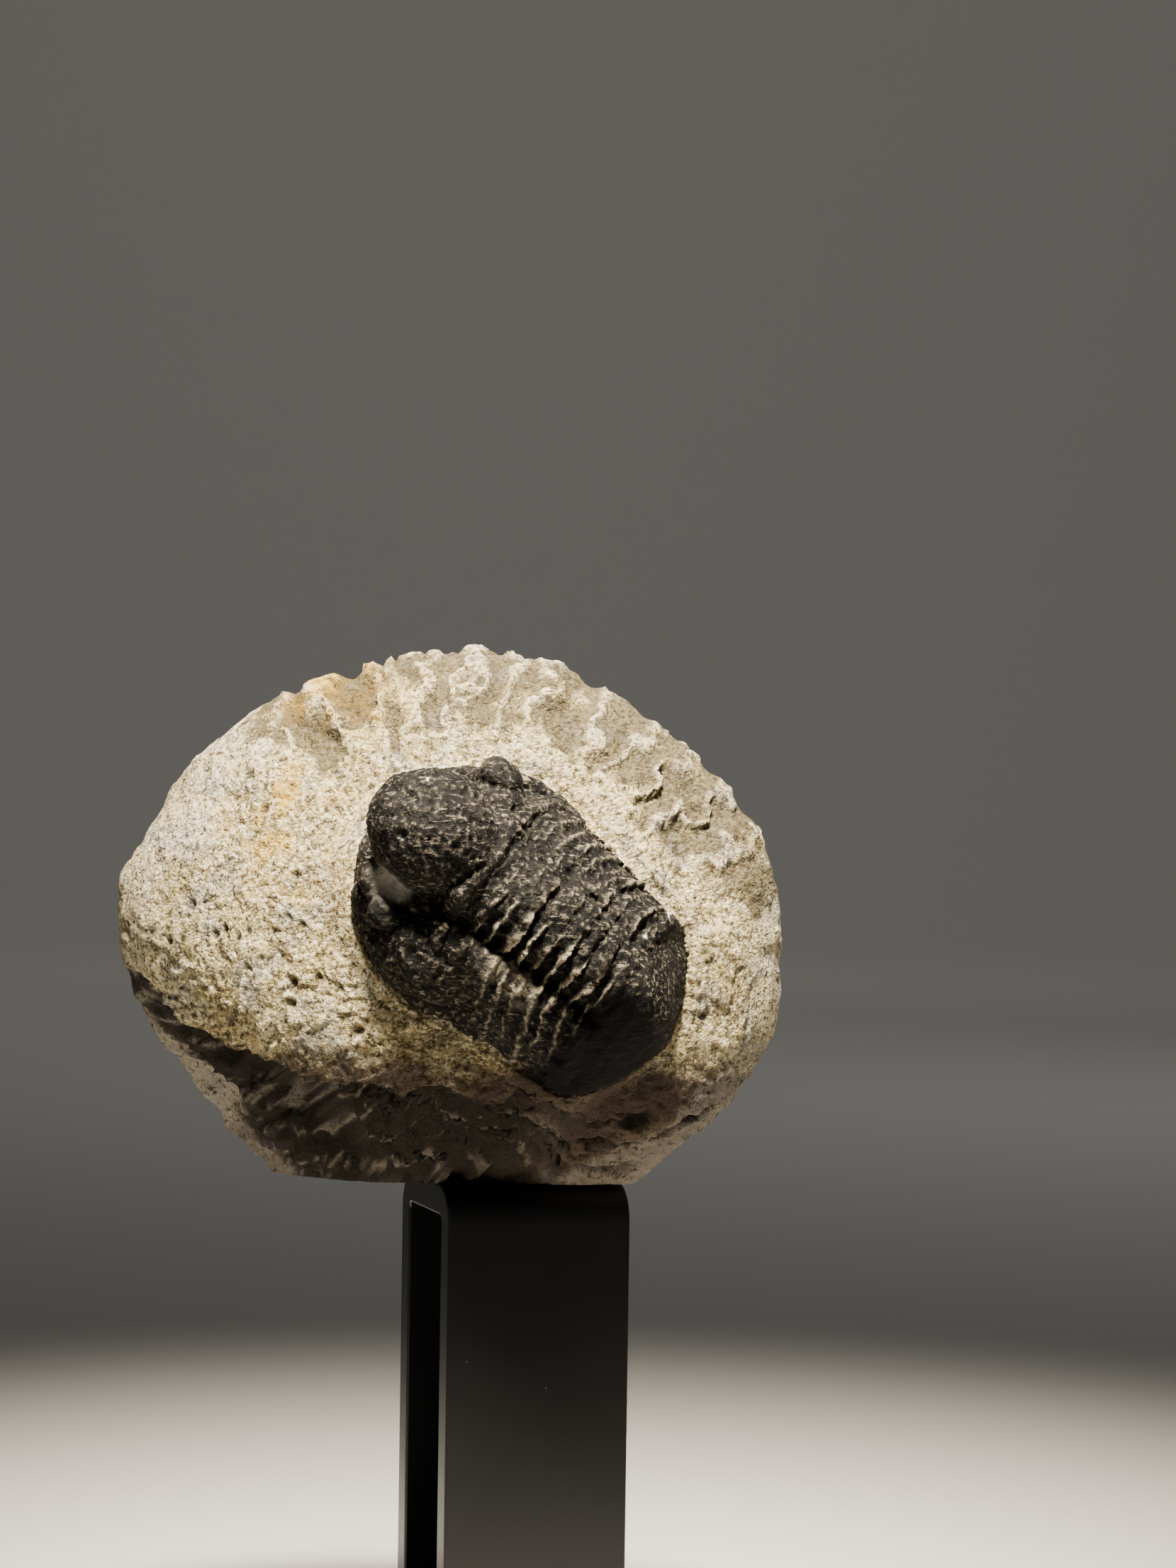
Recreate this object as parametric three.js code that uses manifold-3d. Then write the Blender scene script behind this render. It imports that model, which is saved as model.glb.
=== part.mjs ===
// A trilobite fossil in its piece of limestone, set on a black acrylic display riser with a plain foot plate.
// Millimetres, +Z up. The origin is the middle of the foot plate's underside, and the riser's face looks along -Y.
import * as THREE from "three";
import { mergeVertices } from "three/addons/utils/BufferGeometryUtils.js";
import Module from "manifold-3d";

const wasm = await Module();
wasm.setup();

// Driving dimensions

const gap = 0.3; // left between pieces that touch

const foot = { width: 74, depth: 58, thickness: 5, cornerRadius: 5 };

const riser = { width: 25, depth: 25, height: 62, sheet: 4, bendRadius: 5, bendSteps: 6 };

// The stone is a flattened ball about its heart, trimmed by broken faces, ledges, flake scars and small cavities.
// Its own frame has x to the right, y away from the viewer and z up from the sawn base.
const stone = {
  turnOnRiser: -17, // degrees about +Z, so that the riser shows its left side to a viewer of the fossil
  setForward: 5, // how far the stone's own frame stands in front of the riser's middle
  setLeft: 1.25,
  heart: new THREE.Vector3(-8.6, 0, 30),
  halfWidth: 45.2,
  halfHeight: 42,
  frontBulge: 23,
  backBulge: 24,
  fallRight: 0.1, // how the swollen front falls away to the right and upwards
  fallUp: 0.2,
  edgeSharpness: 22, // higher makes crisper edges between the faces
  lumpSize: 11,
  lumpHeight: 0.9,
  detail: 10, // how finely the ball that becomes the stone is divided
};

// Broken faces: outward direction, and distance of the face from the heart.
const brokenFaces = {
  leftSide: { toward: new THREE.Vector3(-0.82, 0.1, -0.57), distance: 39.4 },
  lowerLeft: { toward: new THREE.Vector3(-0.58, -0.6, -0.55), distance: 31.2 },
  lowerFront: { toward: new THREE.Vector3(0.1, -0.655, -0.75), distance: 27 },
  lowerRight: { toward: new THREE.Vector3(0.74, 0, -0.67), distance: 41.2 },
  footRight: { toward: new THREE.Vector3(0.543, 0, -0.84), distance: 38.6 },
  back: { toward: new THREE.Vector3(0.1, 0.98, 0.15), distance: 22.5 },
  lowerBack: { toward: new THREE.Vector3(-0.1, 0.75, -0.66), distance: 32 },
};
for (const face of Object.values(brokenFaces)) face.toward.normalize();

// Smaller breaks all over the back, clear of the rim: how much of the ball's reach each of them leaves.
const backBreaks = { count: 24, clear: 0.38, keep: 0.92, keepSpread: 0.06 };

// Ledges that step down the lower left face, where layers of the stone came away.
const ledges = {
  count: 3,
  along: new THREE.Vector3(0.73, -0.58, -0.35),
  firstTop: 3,
  spacing: 5.2,
  depth: 1.5,
  size: 70,
  skew: 0.2,
};

// Flake scars round the upper rim, as left by a chisel: angles about the heart, and sizes of one scar.
const scars = {
  count: 15,
  from: 8,
  to: 130,
  stray: 1.7, // how far a scar may lie from its even place, as a share of their spacing
  inFront: 10,
  inFrontSpread: 10,
  width: 3.2,
  length: 7.6,
  depth: 3.2,
  bite: 1.6,
  smallest: 0.65,
  sizeSpread: 0.7,
};

// Small cavities in an arc across the lower front.
const cavities = {
  count: 6,
  left: -6,
  right: 25,
  top: -20.5,
  sag: 4.6,
  width: 2.3,
  height: 1.3,
  depth: 1.8,
  bite: 1.2,
  smallest: 0.7,
  sizeSpread: 0.7,
};

// The animal lies on the front of the stone. Its own frame has x to its right side, y to its head and z up its back.
const trilobite = {
  centre: new THREE.Vector3(0.5, -19.2, 34.8), // in the stone's frame
  headTurn: 143, // degrees from the stone's x axis to the head, seen by the viewer
  lean: 20, // degrees that the back leans to the animal's right
  tailDip: 4, // degrees that the tail drops towards the stone
  frontY: 23,
  headRearY: 7.5,
  thoraxRearY: -12.5,
  tailY: -24.3,
  headHalfWidth: 16.8,
  thoraxHalfWidth: 16.5,
  tailHalfWidth: 14.1,
  tailPoint: 1.7, // how the tail narrows to its tip: lower is more pointed
  tailRound: 0.72,
  axisHalfWidth: 7.6,
  axisTailHalfWidth: 5.8,
  crest: 13.6, // height of the back above the stone
  crestY: 1,
  crestCurve: 0.012,
  furrowShare: { left: 0.58, right: 0.8 }, // height of the furrows beside the axis, as a share of the crest
  sideShare: 0.68, // height of the side lobes' own crest
  roofPower: 1.4, // the tail has no furrows: its two sides fall away from the crest like a roof
  roofFrom: 0.3,
  segments: 9,
  ringRelief: 1,
  ribRelief: 0.75,
  ribSweep: 3.4, // how far the ribs trail back at the margin
  buried: 7, // depth of the animal's underside in the stone
};

const glabella = {
  centre: new THREE.Vector3(-0.3, 15.8, 8.4),
  half: new THREE.Vector3(8, 9.4, 7.2),
  rearTaper: 0.3,
  detail: 6,
};

// The left eye is worn lower than the right.
const eyes = {
  lean: 14,
  around: 14,
  right: { x: 10.6, y: 14.2, z: 3, size: 0.9 },
  left: { x: -10.9, y: 15.1, z: 2, size: 0.72 },
};

const cheek = { height: 8.4, centreY: 6.5, around: 40 };

// The stone left standing under the animal: how far it spreads at its foot and its top, and their heights.
const plinth = { footSpread: 1.3, footZ: -10, topSpread: 1.06, topZ: -0.8 };

const materials = {
  limestone: new THREE.MeshStandardMaterial({ color: "#cdc4ae", roughness: 0.95, metalness: 0 }),
  fossil: new THREE.MeshStandardMaterial({ color: "#2b2a29", roughness: 0.6, metalness: 0 }),
  acrylic: new THREE.MeshStandardMaterial({ color: "#0c0c0d", roughness: 0.25, metalness: 0 }),
};

// Solids and geometry

function solidFrom(geometry) {
  const bare = new THREE.BufferGeometry();
  bare.setAttribute("position", geometry.getAttribute("position"));
  bare.setIndex(geometry.getIndex());
  const merged = mergeVertices(bare, 1e-4);
  const vertProperties = merged.getAttribute("position").array;
  const triVerts = new Uint32Array(merged.getIndex().array);
  return new wasm.Manifold(new wasm.Mesh({ numProp: 3, vertProperties, triVerts }));
}

function geometryFrom(solid) {
  const { vertProperties, triVerts } = solid.getMesh();
  const geometry = new THREE.BufferGeometry();
  geometry.setAttribute("position", new THREE.BufferAttribute(vertProperties, 3));
  geometry.setIndex(new THREE.BufferAttribute(triVerts, 1));
  geometry.computeVertexNormals();
  return geometry;
}

function namedMesh(name, geometry, material) {
  const mesh = new THREE.Mesh(geometry, material);
  mesh.name = name;
  return mesh;
}

// Moves every vertex of a geometry to where the function puts it.
function reshape(geometry, move) {
  const position = geometry.getAttribute("position");
  const point = new THREE.Vector3();
  for (let i = 0; i < position.count; i++) {
    move(point.fromBufferAttribute(position, i));
    position.setXYZ(i, point.x, point.y, point.z);
  }
  return geometry;
}

// A closed skin through rings of points, each ring a loop with the same count, with a fan over each end.
function loft(rings) {
  const around = rings[0].length;
  const points = rings.flat();
  const faces = [];
  for (let r = 0; r + 1 < rings.length; r++) {
    for (let i = 0; i < around; i++) {
      const a = r * around + i;
      const b = r * around + ((i + 1) % around);
      faces.push(a, b, b + around, a, b + around, a + around);
    }
  }
  for (const [ring, turned] of [[0, true], [rings.length - 1, false]]) {
    const middle = points.length;
    const sum = rings[ring].reduce((total, p) => total.add(p), new THREE.Vector3());
    points.push(sum.divideScalar(around));
    for (let i = 0; i < around; i++) {
      const a = ring * around + i;
      const b = ring * around + ((i + 1) % around);
      faces.push(...(turned ? [middle, b, a] : [middle, a, b]));
    }
  }
  return new THREE.BufferGeometry().setFromPoints(points).setIndex(faces);
}

// A repeatable number from 0 to 1 for a place on a grid.
function scatter(i, j = 0, k = 0) {
  const wave = Math.sin(i * 127.1 + j * 311.7 + k * 74.7) * 43758.5453;
  return wave - Math.floor(wave);
}

// Smooth lumps between -1 and 1.
function lumps(point) {
  const cell = point.clone().floor();
  const blend = point.clone().sub(cell);
  for (const axis of ["x", "y", "z"]) blend[axis] = THREE.MathUtils.smoothstep(blend[axis], 0, 1);
  let sum = 0;
  for (const [i, j, k] of [[0, 0, 0], [1, 0, 0], [0, 1, 0], [1, 1, 0], [0, 0, 1], [1, 0, 1], [0, 1, 1], [1, 1, 1]]) {
    const share = (i ? blend.x : 1 - blend.x) * (j ? blend.y : 1 - blend.y) * (k ? blend.z : 1 - blend.z);
    sum += share * scatter(cell.x + i, cell.y + j, cell.z + k);
  }
  return 2 * sum - 1;
}

// Stand

function footPlate() {
  const { width, depth, thickness, cornerRadius: r } = foot;
  const x = width / 2;
  const y = depth / 2;
  const outline = new THREE.Shape()
    .moveTo(-x + r, -y)
    .lineTo(x - r, -y)
    .absarc(x - r, -y + r, r, -Math.PI / 2, 0)
    .absarc(x - r, y - r, r, 0, Math.PI / 2)
    .absarc(-x + r, y - r, r, Math.PI / 2, Math.PI)
    .absarc(-x + r, -y + r, r, Math.PI, 1.5 * Math.PI);
  return new THREE.ExtrudeGeometry(outline, { depth: thickness, bevelEnabled: false, curveSegments: 5 });
}

// One strip of sheet bent twice: up the front, over the top and down the back.
function bentRiser() {
  const { width, depth, height, sheet, bendRadius: outer, bendSteps } = riser;
  const inner = outer - sheet;
  const y = depth / 2;
  const profile = new THREE.Shape()
    .moveTo(-y, 0)
    .lineTo(-y + sheet, 0)
    .lineTo(-y + sheet, height - outer)
    .absarc(-y + outer, height - outer, inner, Math.PI, Math.PI / 2, true)
    .absarc(y - outer, height - outer, inner, Math.PI / 2, 0, true)
    .lineTo(y - sheet, 0)
    .lineTo(y, 0)
    .lineTo(y, height - outer)
    .absarc(y - outer, height - outer, outer, 0, Math.PI / 2)
    .absarc(-y + outer, height - outer, outer, Math.PI / 2, Math.PI);
  const strip = new THREE.ExtrudeGeometry(profile, { depth: width, bevelEnabled: false, curveSegments: bendSteps });
  // The profile's x and y become the part's Y and Z, and the strip's width runs along X.
  return strip.translate(0, 0, -width / 2).rotateX(Math.PI / 2).rotateZ(Math.PI / 2);
}

// Stone

// Directions spread evenly round the back by the golden angle, each with a flat break across it.
for (let i = 0; i < backBreaks.count; i++) {
  const y = THREE.MathUtils.lerp(backBreaks.clear, 1, (i + 0.5) / backBreaks.count);
  const turn = i * Math.PI * (3 - Math.sqrt(5));
  const ring = Math.sqrt(1 - y * y);
  const toward = new THREE.Vector3(ring * Math.cos(turn), y, ring * Math.sin(turn));
  const ball = Math.hypot(toward.x * stone.halfWidth, toward.y * stone.backBulge, toward.z * stone.halfHeight);
  const keep = backBreaks.keep + backBreaks.keepSpread * scatter(i, 6);
  brokenFaces[`back${i}`] = { toward, distance: ball * keep };
}

// Distance from the heart to the surface in a direction: the nearest of the ball and the broken faces, with the
// edges between them eased by a power mean.
function stoneReach(toward) {
  const fall = 1 - stone.fallRight * toward.x - stone.fallUp * toward.z;
  const bulge = toward.y < 0 ? stone.frontBulge * fall : stone.backBulge;
  const power = stone.edgeSharpness;
  const ball = Math.hypot(toward.x / stone.halfWidth, toward.y / bulge, toward.z / stone.halfHeight);
  let sum = ball ** power;
  for (const face of Object.values(brokenFaces)) {
    const facing = face.toward.dot(toward);
    if (facing > 0) sum += (facing / face.distance) ** power;
  }
  return sum ** (-1 / power);
}

function roughStone() {
  const ball = new THREE.IcosahedronGeometry(1, stone.detail);
  return reshape(ball, (p) => {
    const toward = p.clone().normalize();
    p.copy(toward).multiplyScalar(stoneReach(toward));
    const lump = lumps(p.clone().divideScalar(stone.lumpSize).addScalar(20));
    p.addScaledVector(toward, lump * stone.lumpHeight).add(stone.heart);
  });
}

// Everything below the sawn base.
function belowBase() {
  const size = 4 * stone.halfWidth;
  return new THREE.BoxGeometry(size, size, size).translate(0, 0, -size / 2);
}

// One slab for each layer that broke away, lying along the lower left face and deeper as it goes down.
function ledgeSlabs() {
  const { toward, distance } = brokenFaces.lowerLeft;
  const along = ledges.along.clone().projectOnPlane(toward).normalize();
  const frame = new THREE.Matrix4().makeBasis(along, toward.clone().cross(along), toward).setPosition(stone.heart);
  const half = ledges.size / 2;
  const slabs = [];
  for (let i = 0; i < ledges.count; i++) {
    const slab = new THREE.BoxGeometry(ledges.size, ledges.size, ledges.size)
      .translate(0, -half, half)
      .rotateZ((scatter(i, 5) - 0.5) * ledges.skew)
      .translate(0, ledges.firstTop - i * ledges.spacing, distance - (i + 1) * ledges.depth);
    slabs.push(slab.applyMatrix4(frame));
  }
  return slabs;
}

// A scoop that bites the surface where a direction meets it: its sizes run along the rim, down the slope and inwards.
function scoop(toward, outward, [across, down, inward], bite) {
  const slope = new THREE.Vector3(0, 1, 0).projectOnPlane(outward).normalize();
  const middle = toward.clone().setLength(stoneReach(toward)).add(stone.heart);
  middle.addScaledVector(outward, inward - bite);
  const frame = new THREE.Matrix4().makeBasis(slope.clone().cross(outward), slope, outward).setPosition(middle);
  return new THREE.IcosahedronGeometry(1, across > 2.5 ? 2 : 1).scale(across, down, inward).applyMatrix4(frame);
}

function flakeScars() {
  const scoops = [];
  for (let i = 0; i < scars.count; i++) {
    const share = (i + scars.stray * (scatter(i, 1) - 0.5)) / (scars.count - 1);
    const turn = THREE.MathUtils.degToRad(THREE.MathUtils.lerp(scars.from, scars.to, share));
    const inFront = THREE.MathUtils.degToRad(scars.inFront + scars.inFrontSpread * (scatter(i, 2) - 0.5));
    const toward = new THREE.Vector3(Math.cos(turn), -Math.tan(inFront), Math.sin(turn)).normalize();
    const steep = new THREE.Vector3(1 / stone.halfWidth, 1 / stone.frontBulge, 1 / stone.halfHeight);
    const outward = toward.clone().multiply(steep).multiply(steep).normalize();
    const size = scars.smallest + scars.sizeSpread * scatter(i, 3);
    scoops.push(scoop(toward, outward, [scars.width * size, scars.length * size, scars.depth], scars.bite * size));
  }
  return scoops;
}

function lowerCavities() {
  const { toward: outward, distance } = brokenFaces.lowerFront;
  const scoops = [];
  for (let i = 0; i < cavities.count; i++) {
    const share = i / (cavities.count - 1);
    const x = THREE.MathUtils.lerp(cavities.left, cavities.right, share);
    const z = cavities.top - cavities.sag * Math.sin(Math.PI * share);
    const y = (distance - outward.x * x - outward.z * z) / outward.y;
    const size = cavities.smallest + cavities.sizeSpread * scatter(i, 4);
    const sizes = [cavities.width * size, cavities.height * size, cavities.depth];
    scoops.push(scoop(new THREE.Vector3(x, y, z).normalize(), outward, sizes, cavities.bite));
  }
  return scoops;
}

function matrixStone(underAnimal, pocket) {
  const block = solidFrom(roughStone()).add(solidFrom(underAnimal));
  const cuts = [belowBase(), ...ledgeSlabs(), ...flakeScars(), ...lowerCavities(), pocket].map(solidFrom);
  return geometryFrom(cuts.reduce((left, cut) => left.subtract(cut), block));
}

// Trilobite

// How far a place lies along the tail, from 0 at the thorax to 1 at the tip.
function tailShare(y) {
  const { thoraxRearY, tailY } = trilobite;
  return THREE.MathUtils.clamp((thoraxRearY - y) / (thoraxRearY - tailY), 0, 1);
}

// How much of its width the tail keeps at a share of its length.
function tailKeeps(share) {
  return (1 - share ** trilobite.tailPoint) ** trilobite.tailRound;
}

function halfWidthAt(y) {
  const { headRearY, thoraxRearY } = trilobite;
  const back = THREE.MathUtils.smoothstep(-y, -headRearY, -thoraxRearY);
  const side = THREE.MathUtils.lerp(trilobite.thoraxHalfWidth, trilobite.tailHalfWidth, back);
  return side * tailKeeps(tailShare(y));
}

function axisHalfWidthAt(y) {
  const { headRearY, thoraxRearY } = trilobite;
  const back = THREE.MathUtils.clamp((headRearY - y) / (headRearY - thoraxRearY), 0, 1);
  const side = THREE.MathUtils.lerp(trilobite.axisHalfWidth, trilobite.axisTailHalfWidth, back);
  return side * Math.sqrt(1 - (0.97 * tailShare(y)) ** 2);
}

function crestAt(y) {
  const onThorax = Math.max(y, trilobite.thoraxRearY);
  const arch = trilobite.crest - trilobite.crestCurve * (onThorax - trilobite.crestY) ** 2;
  return arch * (1 - tailShare(y) ** 2) ** 0.62;
}

// Half of a section across the body, from the middle of the back down to the margin.
function sectionAt(y, points, furrowShare) {
  const side = Math.max(halfWidthAt(y), 0.4);
  const axis = Math.min(axisHalfWidthAt(y), 0.6 * side);
  const crest = crestAt(y);
  const furrow = crest * furrowShare;
  const rib = crest * trilobite.sideShare;
  const lobe = side - axis;
  const line = new THREE.SplineCurve([
    new THREE.Vector2(0, crest),
    new THREE.Vector2(0.5 * axis, 0.95 * crest),
    new THREE.Vector2(0.86 * axis, 0.8 * crest),
    new THREE.Vector2(axis, furrow),
    new THREE.Vector2(axis + 0.2 * lobe, rib),
    new THREE.Vector2(axis + 0.5 * lobe, 0.86 * rib),
    new THREE.Vector2(axis + 0.8 * lobe, 0.5 * rib),
    new THREE.Vector2(side, 0),
  ]);
  const roofed = THREE.MathUtils.smoothstep(tailShare(y), 0, trilobite.roofFrom);
  return line.getPoints(points).map(({ x, y: height }) => {
    const roof = crest * (1 - (x / side) ** trilobite.roofPower);
    return { x, z: THREE.MathUtils.lerp(height, roof, roofed), onAxis: x < axis, outward: (x - axis) / lobe };
  });
}

// Height that one segment adds, by how far along the segment a place lies.
function segmentSwell(phase) {
  return Math.sin(Math.PI * phase) ** 0.7;
}

// One side of a loop across the body, from the middle of the back down to its buried edge.
function halfRing(y, phase, relief, furrowShare, toSide) {
  const { ringRelief, ribRelief, ribSweep, buried } = trilobite;
  const points = 12;
  const half = sectionAt(y, points, furrowShare).map(({ x, z, onAxis, outward }) => {
    const fade = onAxis ? ringRelief : ribRelief * (1 - 0.6 * outward);
    const sweep = onAxis ? 0 : ribSweep * outward ** 2;
    return new THREE.Vector3(toSide * x, y - sweep * (1 - tailShare(y)), z + relief * fade * segmentSwell(phase));
  });
  return [...half, half[points].clone().setZ(-buried)];
}

function bodyRing(y, phase, relief) {
  const right = halfRing(y, phase, relief, trilobite.furrowShare.right, 1);
  const left = halfRing(y, phase, relief, trilobite.furrowShare.left, -1);
  return [...right.reverse(), ...left.slice(1)];
}

// Thorax and tail as one skin, ringed by its segments.
function thoraxAndTail() {
  const { headRearY, thoraxRearY, tailY, segments } = trilobite;
  const pitch = (headRearY - thoraxRearY) / segments;
  // The head's last ring: steps ahead of the thorax, and height against a ring's.
  const occipitalRing = [[1.8, -5], [1.2, -0.6], [0.5, 1.1]];
  const rings = occipitalRing.map(([ahead, relief]) => bodyRing(headRearY + ahead * pitch, 0.5, relief));
  for (let i = 0; i < segments; i++) {
    for (const phase of [0.03, 0.35, 0.75]) rings.push(bodyRing(headRearY - (i + phase) * pitch, phase, 1));
  }
  const tailSteps = 11;
  for (let i = 0; i < tailSteps; i++) {
    const share = Math.sin((0.5 * Math.PI * i) / (tailSteps - 0.6));
    const y = THREE.MathUtils.lerp(thoraxRearY, tailY, share);
    rings.push(bodyRing(y, i % 2 ? 0.5 : 0.05, 0.45 * (1 - share)));
  }
  return loft(rings);
}

// Both cheeks with the raised border round the front, as one turned dome stretched to the head's outline.
function cheeks() {
  const { headHalfWidth, frontY, buried } = trilobite;
  const profile = [
    [0, -buried],
    [1, -buried],
    [1, 0.6],
    [0.97, 1.7],
    [0.92, 1.9],
    [0.88, 1.6],
    [0.8, 3.4],
    [0.66, 6.2],
    [0.45, 8],
    [0.2, cheek.height],
    [0, cheek.height],
  ].map(([radius, height]) => new THREE.Vector2(radius, height));
  return new THREE.LatheGeometry(profile, cheek.around)
    .rotateX(Math.PI / 2)
    .scale(headHalfWidth, frontY - cheek.centreY, 1)
    .translate(0, cheek.centreY, 0);
}

// The swollen middle of the head, widest in front.
function swollenGlabella() {
  const ball = new THREE.IcosahedronGeometry(1, glabella.detail);
  return reshape(ball, (p) => {
    const taper = 1 - glabella.rearTaper * THREE.MathUtils.smoothstep(-p.y, -0.2, 1);
    p.x *= taper;
    p.multiply(glabella.half).add(glabella.centre);
  });
}

// An eye is a short turret with a waist and a domed top.
function eyeTurret({ x, y, z, size }) {
  const profile = [
    [0, -3],
    [3, -3],
    [2.7, 0.6],
    [2.25, 2.6],
    [2.6, 4.2],
    [2.5, 5.4],
    [1.7, 6.3],
    [0, 6.6],
  ].map(([radius, height]) => new THREE.Vector2(radius, height));
  return new THREE.LatheGeometry(profile, eyes.around)
    .rotateX(Math.PI / 2)
    .scale(size, size, size)
    .rotateY(THREE.MathUtils.degToRad(Math.sign(x) * eyes.lean))
    .translate(x, y, z);
}

function wholeTrilobite() {
  const pieces = [thoraxAndTail(), cheeks(), swollenGlabella(), eyeTurret(eyes.left), eyeTurret(eyes.right)];
  return geometryFrom(pieces.map(solidFrom).reduce((whole, piece) => whole.add(piece)));
}

// The animal's plan, grown by the gap. The tail's margin starts where the last ribs trail back to.
function animalPlan() {
  const { frontY, thoraxRearY, tailY, tailHalfWidth, ribSweep } = trilobite;
  const head = trilobite.headHalfWidth + gap;
  const side = Math.max(head, trilobite.thoraxHalfWidth + 2 * gap);
  const tailSteps = 12;
  const tail = [];
  for (let i = 0; i <= tailSteps; i++) {
    const share = Math.sin((0.5 * Math.PI * i) / tailSteps);
    const y = THREE.MathUtils.lerp(thoraxRearY - ribSweep, tailY - 2 * gap, share);
    tail.push(new THREE.Vector2(tailHalfWidth * tailKeeps(share) + 2 * gap, y));
  }
  const plan = new THREE.Shape()
    .moveTo(head, cheek.centreY)
    .absellipse(0, cheek.centreY, head, frontY - cheek.centreY + gap, 0, Math.PI)
    .lineTo(-side, cheek.centreY - 2 * ribSweep);
  for (const { x, y } of tail) plan.lineTo(-x, y);
  for (const { x, y } of tail.reverse()) plan.lineTo(x, y);
  return plan.lineTo(side, cheek.centreY - 2 * ribSweep);
}

// The hollow in the stone that the animal lies in.
function trilobitePocket() {
  const { buried, crest } = trilobite;
  const settings = { depth: buried + 2 * crest, bevelEnabled: false, curveSegments: 20 };
  return new THREE.ExtrudeGeometry(animalPlan(), settings).translate(0, 0, -buried - gap);
}

// The stone that rises to the animal's margin, sloping out all round.
function stoneUnderAnimal() {
  const outline = animalPlan().getPoints(12);
  const rings = [[plinth.footSpread, plinth.footZ], [plinth.topSpread, plinth.topZ]].map(([spread, z]) =>
    outline.map((p) => new THREE.Vector3(p.x * spread, p.y * spread, z)),
  );
  return loft(rings);
}

// Where the animal lies, in the stone's frame.
function trilobitePlace() {
  const turn = THREE.MathUtils.degToRad(trilobite.headTurn);
  const toHead = new THREE.Vector3(Math.cos(turn), 0, Math.sin(turn));
  const toRight = new THREE.Vector3(Math.sin(turn), 0, -Math.cos(turn));
  const toBack = toRight.clone().cross(toHead);
  return new THREE.Matrix4()
    .makeBasis(toRight, toHead, toBack)
    .multiply(new THREE.Matrix4().makeRotationY(THREE.MathUtils.degToRad(trilobite.lean)))
    .multiply(new THREE.Matrix4().makeRotationX(THREE.MathUtils.degToRad(trilobite.tailDip)))
    .setPosition(trilobite.centre);
}

// Assembly

const place = trilobitePlace();

const animal = namedMesh("trilobite", wholeTrilobite(), materials.fossil);
animal.position.setFromMatrixPosition(place);
animal.quaternion.setFromRotationMatrix(place);

const specimen = new THREE.Group();
specimen.rotation.z = THREE.MathUtils.degToRad(stone.turnOnRiser);
specimen.position.set(-stone.setLeft, -stone.setForward, foot.thickness + riser.height + gap);
const [underAnimal, pocket] = [stoneUnderAnimal(), trilobitePocket()].map((shape) => shape.applyMatrix4(place));
specimen.add(namedMesh("matrix_stone", matrixStone(underAnimal, pocket), materials.limestone));
specimen.add(animal);

const stand = new THREE.Group();
const bentSheet = namedMesh("riser", bentRiser(), materials.acrylic);
bentSheet.position.z = foot.thickness;
stand.add(namedMesh("foot_plate", footPlate(), materials.acrylic));
stand.add(bentSheet);

const part = new THREE.Group();
part.add(stand);
part.add(specimen);

export default part;
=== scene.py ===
import math

import bmesh
import bpy
import numpy as np
from mathutils import Matrix, Vector


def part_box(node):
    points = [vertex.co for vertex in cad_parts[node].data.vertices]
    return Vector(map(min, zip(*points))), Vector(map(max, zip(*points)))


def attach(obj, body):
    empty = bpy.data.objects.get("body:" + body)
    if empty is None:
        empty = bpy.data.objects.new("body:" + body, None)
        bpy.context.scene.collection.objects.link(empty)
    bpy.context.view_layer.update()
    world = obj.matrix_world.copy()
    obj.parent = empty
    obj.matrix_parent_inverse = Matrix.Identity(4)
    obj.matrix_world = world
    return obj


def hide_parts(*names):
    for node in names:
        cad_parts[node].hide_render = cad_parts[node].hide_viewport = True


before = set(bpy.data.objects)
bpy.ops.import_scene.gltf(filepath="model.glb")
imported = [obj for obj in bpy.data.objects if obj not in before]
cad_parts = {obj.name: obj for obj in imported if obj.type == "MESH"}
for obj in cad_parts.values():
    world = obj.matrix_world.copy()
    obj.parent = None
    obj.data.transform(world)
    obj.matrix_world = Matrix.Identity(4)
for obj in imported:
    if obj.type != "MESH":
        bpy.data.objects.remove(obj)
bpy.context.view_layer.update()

# A trilobite on its piece of limestone, set on a black acrylic riser.
# Shapes are worked out in millimetres in the specimen's own frame: x right, y away from the viewer, z up from
# the sawn base. specimenToRow then puts them in the frame that the model was packed in, in metres.

mm = 0.001
specimenTurn = math.radians(-17)  # how the specimen is turned on its riser
specimenForward = 5.0  # how far the specimen's frame stands in front of the riser's middle, mm
specimenLeft = 1.25
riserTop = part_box("riser")[1].z
specimenToRow = (
    Matrix.Translation((-specimenLeft * mm, -specimenForward * mm, riserTop))
    @ Matrix.Rotation(specimenTurn, 4, "Z")
    @ Matrix.Diagonal((mm, mm, mm, 1))
)


def moved(points, matrix):
    turn = np.array(matrix.to_3x3())
    return points @ turn.T + np.array(matrix.translation)


def linearColour(hexText):
    parts = [int(hexText[i : i + 2], 16) / 255 for i in (1, 3, 5)]
    return [p / 12.92 if p <= 0.04045 else ((p + 0.055) / 1.055) ** 2.4 for p in parts] + [1.0]


def addNode(tree, kind, inputs=None, **settings):
    node = tree.nodes.new(kind)
    for key, value in settings.items():
        setattr(node, key, value)
    for key, value in (inputs or {}).items():
        if isinstance(value, bpy.types.NodeSocket):
            tree.links.new(value, node.inputs[key])
        else:
            node.inputs[key].default_value = value
    return node


def perMetre(sizeMm):
    return 1000.0 / sizeMm  # a texture scale whose marks are about this many millimetres across


def inScene(name, data):
    item = bpy.data.objects.new(name, data)
    bpy.context.scene.collection.objects.link(item)
    return item


def meshObject(name, points, faces):
    data = bpy.data.meshes.new(name)
    data.from_pydata(np.asarray(points, float).tolist(), [], [tuple(map(int, face)) for face in faces])
    data.validate()
    return inScene(name, data)


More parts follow.
